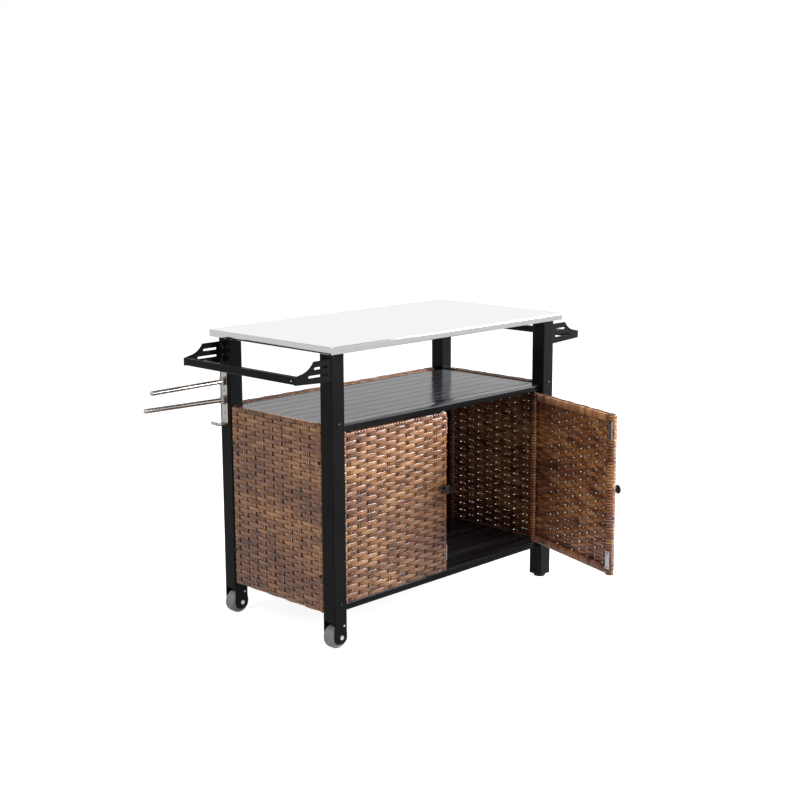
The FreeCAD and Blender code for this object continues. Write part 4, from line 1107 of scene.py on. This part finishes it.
# %% Knobs
KNOB = ([(0, 0), (0.0045, 0), (0.0045, 0.0080), (0.0070, 0.0112), (0.0110, 0.0134), (0.0132, 0.0150),
         (0.0140, 0.0166), (0.0139, 0.0180), (0.0128, 0.0196), (0.0100, 0.0209), (0.0055, 0.0217), (0, 0.0220)])
DOOR_FOOT = 0.125
KNOB_LEVEL = 0.385 - DOOR_FOOT
KNOB_INSET = 0.0165
DOOR_SIDES = {"left": (LEFT_DOOR_PLACE, lambda inset: DOOR_WIDE - inset),
              "right": (RIGHT_DOOR_PLACE, lambda inset: inset)}
for side, (place, from_edge) in DOOR_SIDES.items():
    stem = place @ aimed((from_edge(KNOB_INSET), 0, KNOB_LEVEL), (0, -1, 0))
    knob = place_turned(side + "_knob", KNOB, stem, side + "_door", "black_plastic", side + "_door_knob",
                        sides=32)
    print(knob.name, "faces", len(knob.data.polygons))

# %% [markdown]
# ## Door pins
#
# Each door turns on two short pins that stick out of its wrapped frame, one into the rail above and
# one into the rail below, so the pins are separate turned pieces on the door's body. Leaf hinges
# would show at the door's edge, and the photographed doors show none.

# %% Door pins
PIN_RADIUS = 0.003
PIN_TIP = 0.0008
PIN_LONG = 0.0115
PIN_ROOT = PIN_LONG + 0.004
PIN = [(0, 0)] + rounded(PIN_RADIUS, 0.0, PIN_TIP, False) + [(PIN_RADIUS, PIN_ROOT), (0, PIN_ROOT)]
for side in DOOR_SIDES:
    x, y, _ = joint(side + "_door_hinge")["pos_m"]
    low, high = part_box(side + "_door_weave")
    for end, level, up in (("top", high.z + PIN_LONG, -1), ("bottom", low.z - PIN_LONG, 1)):
        place_turned(f"{side}_{end}_pin", PIN, aimed((x, y, level), (0, 0, up)), side + "_door",
                     "plated_steel", sides=24)
    print(side, "pins at", round(x, 4), round(y, 4))

# %% [markdown]
# ## Feet
#
# The two legs without a wheel stand on plastic feet. A foot is a round disc on the floor with a
# square plug that is pushed up into the leg's tube, so it is turned and lofted, and then merged.

# %% Feet
PLUG_CORNER = 0.0030
FOOT = ([(0, 0)] + rounded(0.019, 0.0, 0.002, False) + rounded(0.019, 0.0092, 0.0022, True)
        + [(0.0150, 0.0095), (0, 0.0095)])


def plugged_foot(name, low, high):
    """A round disc on the floor and the square plug that goes up into the leg's tube."""
    disc = turned(name, FOOT, 48)
    work = bmesh.new()
    half = (high.x - low.x) / 2
    rings = [hoop(work, half, half, PLUG_CORNER, inset, level) for inset, level in
             ((0, 0.0090), (0, high.z - 0.002), (0.0012, high.z))]
    stacked(work, rings)
    work.faces.new(rings[0])
    work.faces.new(rings[-1])
    whole = merged(name, [disc, finished(work, name)])
    middle = (low + high) / 2
    whole.transform(Matrix.Translation((middle.x, middle.y, 0)))
    whole.materials.append(FINISHES["black_plastic"])
    return whole


for end in ("front", "rear"):
    foot = plugged_foot(end + "_plug_foot", *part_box(end + "_foot"))
    show(end + "_plug_foot", foot, "cart", "black_plastic", end + "_foot")
    print(end, "foot faces", len(foot.polygons))

# %% [markdown]
# ## Wheels
#
# Each of the two wheels has a solid grey tyre with round shoulders and a fine moulding line round
# its middle. It sits on a black hub, so the ring's profile is a closed loop that never meets the
# axis. A plain torus would be rounder than the real tyre, whose tread is nearly flat.

# %% Tyres
SHOULDER_DROP = 0.0135 * 0.8
TREAD_SHARE = 0.42
HUB_RADIUS = 0.0161


def tyre_profile(radius, bore, half_wide):
    outer = []
    for degrees in (0, 18, 36, 54, 72, 90):
        angle = math.radians(degrees)
        outer.append((radius - SHOULDER_DROP * (1 - math.cos(angle)),
                      half_wide * (TREAD_SHARE + (1 - TREAD_SHARE) * math.sin(angle))))
    seam = [(radius, 0.0006), (radius - 0.0003, 0.0), (radius, -0.0006)]
    face = [(bore + 0.004, half_wide), (bore + 0.002, half_wide - 0.0012), (bore, half_wide - 0.0012)]
    upper = list(reversed(face)) + list(reversed(outer))
    lower = [(r, -z) for r, z in reversed(upper)]
    return upper + seam + lower


def ring_of(name, profile, sides):
    work = bmesh.new()
    rings = [[work.verts.new((r * math.cos(math.tau * n / sides), r * math.sin(math.tau * n / sides), z))
              for n in range(sides)] for r, z in profile]
    stacked(work, rings, closed=True)
    return finished(work, name, 40)


for end in ("front", "rear"):
    low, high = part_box(end + "_tyre")
    profile = tyre_profile((high.z - low.z) / 2, HUB_RADIUS, (high.y - low.y) / 2)
    tyre = ring_of(end + "_tyre_ring", profile, 64)
    tyre.transform(aimed((low + high) / 2, (0, -1, 0)))
    tyre.materials.append(FINISHES["grey_rubber"])
    show(end + "_tyre_ring", tyre, end + "_wheel", "grey_rubber", end + "_tyre")
    print(end, "tyre is", round((high.z - low.z) * 1000, 1), "mm high")

# %% [markdown]
# ## Swing arms
#
# The two rods on the left are round stainless bars with domed tips, each welded to a small barrel
# that turns on its pin. A rod and its barrel are turned separately and joined in one mesh. The
# angles are those of the photographed arms: the upper one is swung a little forward, the lower one
# a little back.

# %% Swing arms
ROD_RADIUS = 0.0070
ROD_START = 0.004
ROD_LONG = 0.2620
ROD = ([(0, ROD_START), (ROD_RADIUS, ROD_START), (ROD_RADIUS, 0.2575)]
       + rounded(ROD_RADIUS, ROD_LONG, 0.0030, True) + [(0, ROD_LONG)])
BARREL = [(0.0026, -0.008), (0.0071, -0.008), (0.0077, -0.0074), (0.0077, 0.0074), (0.0071, 0.008),
          (0.0026, 0.008)]


def rod_and_barrel(name, pivot, angle):
    rod = turned(name, ROD, 32)
    rod.transform(aimed((0, 0, 0), (-1, 0, 0)))
    barrel = ring_of(name, BARREL, 32)
    whole = merged(name, [rod, barrel])
    whole.transform(Matrix.Translation(pivot) @ Matrix.Rotation(math.radians(angle), 4, "Z"))
    whole.materials.append(FINISHES["rod_steel"])
    return whole


for name, angle in (("upper_arm", 2.6), ("lower_arm", -5.4)):
    arm = rod_and_barrel(name, joint(name + "_swing")["pos_m"], angle)
    show(name + "_rod", arm, name, "stainless", name)
    print(name, "faces", len(arm.polygons))

# %% [markdown]
# ## Screws and rivets
#
# The parts are held by button-head screws, and rivets close the wheel legs. Each size of head is
# modelled once, with its socket, and a geometry tree sets a copy on every point of a small mesh,
# turned to the direction stored there. One mesh holds the heads of one kind on one body.

# %% A screw head
def button_head(name, radius, tall, socket):
    """A domed head with a six-sided socket, standing on Z = 0."""
    work = bmesh.new()
    sides = 12
    steps = [(radius, 0.0, False), (radius, tall * 0.35, False), (radius * 0.86, tall * 0.75, False),
             (radius * 0.60, tall, False), (socket, tall, True), (socket, tall * 0.4, True)]
    rings = []
    for size, height, hexagon in steps:
        ring = []
        for n in range(sides):
            reach = size * (math.cos(math.pi / 6) if hexagon and n % 2 else 1.0)
            angle = math.tau * n / sides
            ring.append(work.verts.new((reach * math.cos(angle), reach * math.sin(angle), height)))
        rings.append(ring)
    stacked(work, rings)
    work.faces.new(rings[0])
    work.faces.new(rings[-1])
    return finished(work, name, 40)


# %% The tree that sets heads
def fastener_tree():
    tree, given = start_tree("fasteners", Points="shape", Head="object", Finish="material")
    head = put(tree, "GeometryNodeObjectInfo", {"Object": given["Head"]}).outputs["Geometry"]
    aim = put(tree, "GeometryNodeInputNamedAttribute", {"Name": "aim"}, data_type="FLOAT_VECTOR").outputs[0]
    turn = put(tree, "FunctionNodeAlignRotationToVector", {"Vector": aim}, axis="Z").outputs[0]
    heads = put(tree, "GeometryNodeInstanceOnPoints",
                {"Points": given["Points"], "Instance": head, "Rotation": turn}).outputs[0]
    end_tree(tree, heads, given["Finish"])
    return tree


FASTENERS = fastener_tree()


def set_heads(name, head_mesh, spots, body, slot, finish=None):
    """One mesh of heads: spots are pairs of a place and the direction the head points in."""
    points = bpy.data.meshes.new("spots")
    points.from_pydata([place for place, _ in spots], [], [])
    aims = points.attributes.new("aim", "FLOAT_VECTOR", "POINT")
    aims.data.foreach_set("vector", [value for _, aim in spots for value in aim])
    model = bpy.data.objects.new("head_model", head_mesh)
    mesh = grown(FASTENERS, points, Head=model, Finish=FINISHES[finish or slot])
    bpy.data.objects.remove(model)
    print(name, len(spots), "heads")
    return show(name, mesh, body, slot)


# %% [markdown]
# ## Screws on the legs
#
# The handle brackets, the rails and the side panels are each screwed to the legs, and four flanges
# hold the worktop from below. Most levels are written here in metres on the face that carries the
# head, because the parts come in without holes that could give the places. The upper screw on a
# front leg's inner face is left out, since the left door's wicker would meet it.

# %% Screws on the legs
BIG = button_head("big_head", 0.0052, 0.0032, 0.0021)
BRACKET_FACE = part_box("leg_rear_right")[1].x + 0.003
BRACKET_LEVELS = (0.8265, 0.7800)
BRACKET_Y = 0.2295
LEG_MIDDLE = 0.458
LEG_FRONT = -0.245
RAIL_LEVELS = (0.648, 0.130)
LEG_INNER_X = 0.434
LEG_INNER_Y = -0.217
LEG_INNER_LEVEL = 0.100
PANEL_FACE = 0.482
PANEL_SCREW_Y = 0.1895
PANEL_LEVELS = (0.2070, 0.5350)
FLANGE_SPOTS = ((0.4165, 0.221), (LEG_MIDDLE, 0.1795))
FLANGE_UNDER = 0.8472


def leg_spots():
    spots = []
    for side in (-1, 1):
        spots += [((side * BRACKET_FACE, end * BRACKET_Y, level), (side, 0, 0))
                  for end in (-1, 1) for level in BRACKET_LEVELS]
        spots += [((side * LEG_MIDDLE, LEG_FRONT, level), (0, -1, 0)) for level in RAIL_LEVELS]
        spots.append(((side * LEG_INNER_X, LEG_INNER_Y, LEG_INNER_LEVEL), (-side, 0, 0)))
        spots += [((side * PANEL_FACE, end * PANEL_SCREW_Y, level), (side, 0, 0))
                  for level in PANEL_LEVELS for end in (-1, 1)]
    spots += [((side * x, end * y, FLANGE_UNDER), (0, 0, -1))
              for side in (-1, 1) for end in (-1, 1) for x, y in FLANGE_SPOTS]
    return spots


set_heads("frame_screws", BIG, leg_spots(), "cart", "black_steel", "black_screw")

# %% [markdown]
# ## Small screws and rivets
#
# Smaller heads hold the handle bars at their front ends, the catches for the doors and the hanger,
# and rivets close the wheel legs on both sides. The right bar's screw is set almost flush, because
# nothing may stand out past the end of that bar.

# %% Small screws and rivets
SMALL = button_head("small_head", 0.0032, 0.0018, 0.0013)
TINY = button_head("tiny_head", 0.0024, 0.0012, 0.0010)
BAR_SCREW_Y = -0.2285
RIGHT_BAR_SUNK = 0.00115
RIVET_X = -0.446
RIVET_LEVEL = 0.066
RIVET_OUTER = 0.245
RIVET_INNER = 0.197
CATCH_SCREW_Y = -0.1950
HANGER_SCREW_Y = 0.221


def bar_spot(name, side, sunk):
    low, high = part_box(name)
    outer = low.x if side < 0 else high.x
    return (outer - sunk, BAR_SCREW_Y, (low.z + high.z) / 2), (side, 0, 0)


bar_spots = [bar_spot("left_handle_bar", -1, 0.0), bar_spot("right_handle_bar", 1, RIGHT_BAR_SUNK)]
set_heads("bar_screws", TINY, bar_spots, "cart", "plated_steel")
rivets = [((RIVET_X, end * y, RIVET_LEVEL), (0, way * end, 0))
          for y, way in ((RIVET_OUTER, 1), (RIVET_INNER, -1)) for end in (-1, 1)]
set_heads("wheel_rivets", SMALL, rivets, "cart", "plated_steel")
catch_spots = [((x, CATCH_SCREW_Y, level), (0, 0, way)) for x in (-0.014, 0.014)
               for level, way in ((0.6185, -1), (0.1235, 1))]
set_heads("catch_screws", SMALL, catch_spots, "cart", "black_steel", "black_screw")
hanger_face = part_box("hanger_pins")[1].x + 0.004
hanger_spots = [((hanger_face, HANGER_SCREW_Y, level), (-1, 0, 0)) for level in (0.752, 0.690, 0.624)]
set_heads("hanger_screws", SMALL, hanger_spots, "cart", "stainless", "rod_steel")

# %% [markdown]
# ## Screws on the doors
#
# Two flat screws hold each steel strike plate to a door's inner side. They are nearly flush, since a
# domed head would keep the door from its magnet.

# %% Screws on the doors
FLAT = button_head("flat_head", 0.0030, 0.00022, 0.0013)
STRIKE_INSET = 0.011
STRIKE_FACE = 0.02142
STRIKE_MIDDLES = (0.4455, 0.0465)
for side, (place, from_edge) in DOOR_SIDES.items():
    spots = [(place @ Vector((from_edge(STRIKE_INSET), STRIKE_FACE, middle + shift)),
              place.to_3x3() @ Vector((0, 1, 0)))
             for middle in STRIKE_MIDDLES for shift in (-0.022, 0.022)]
    set_heads(side + "_strike_screws", FLAT, spots, side + "_door", "black_steel", "black_screw")
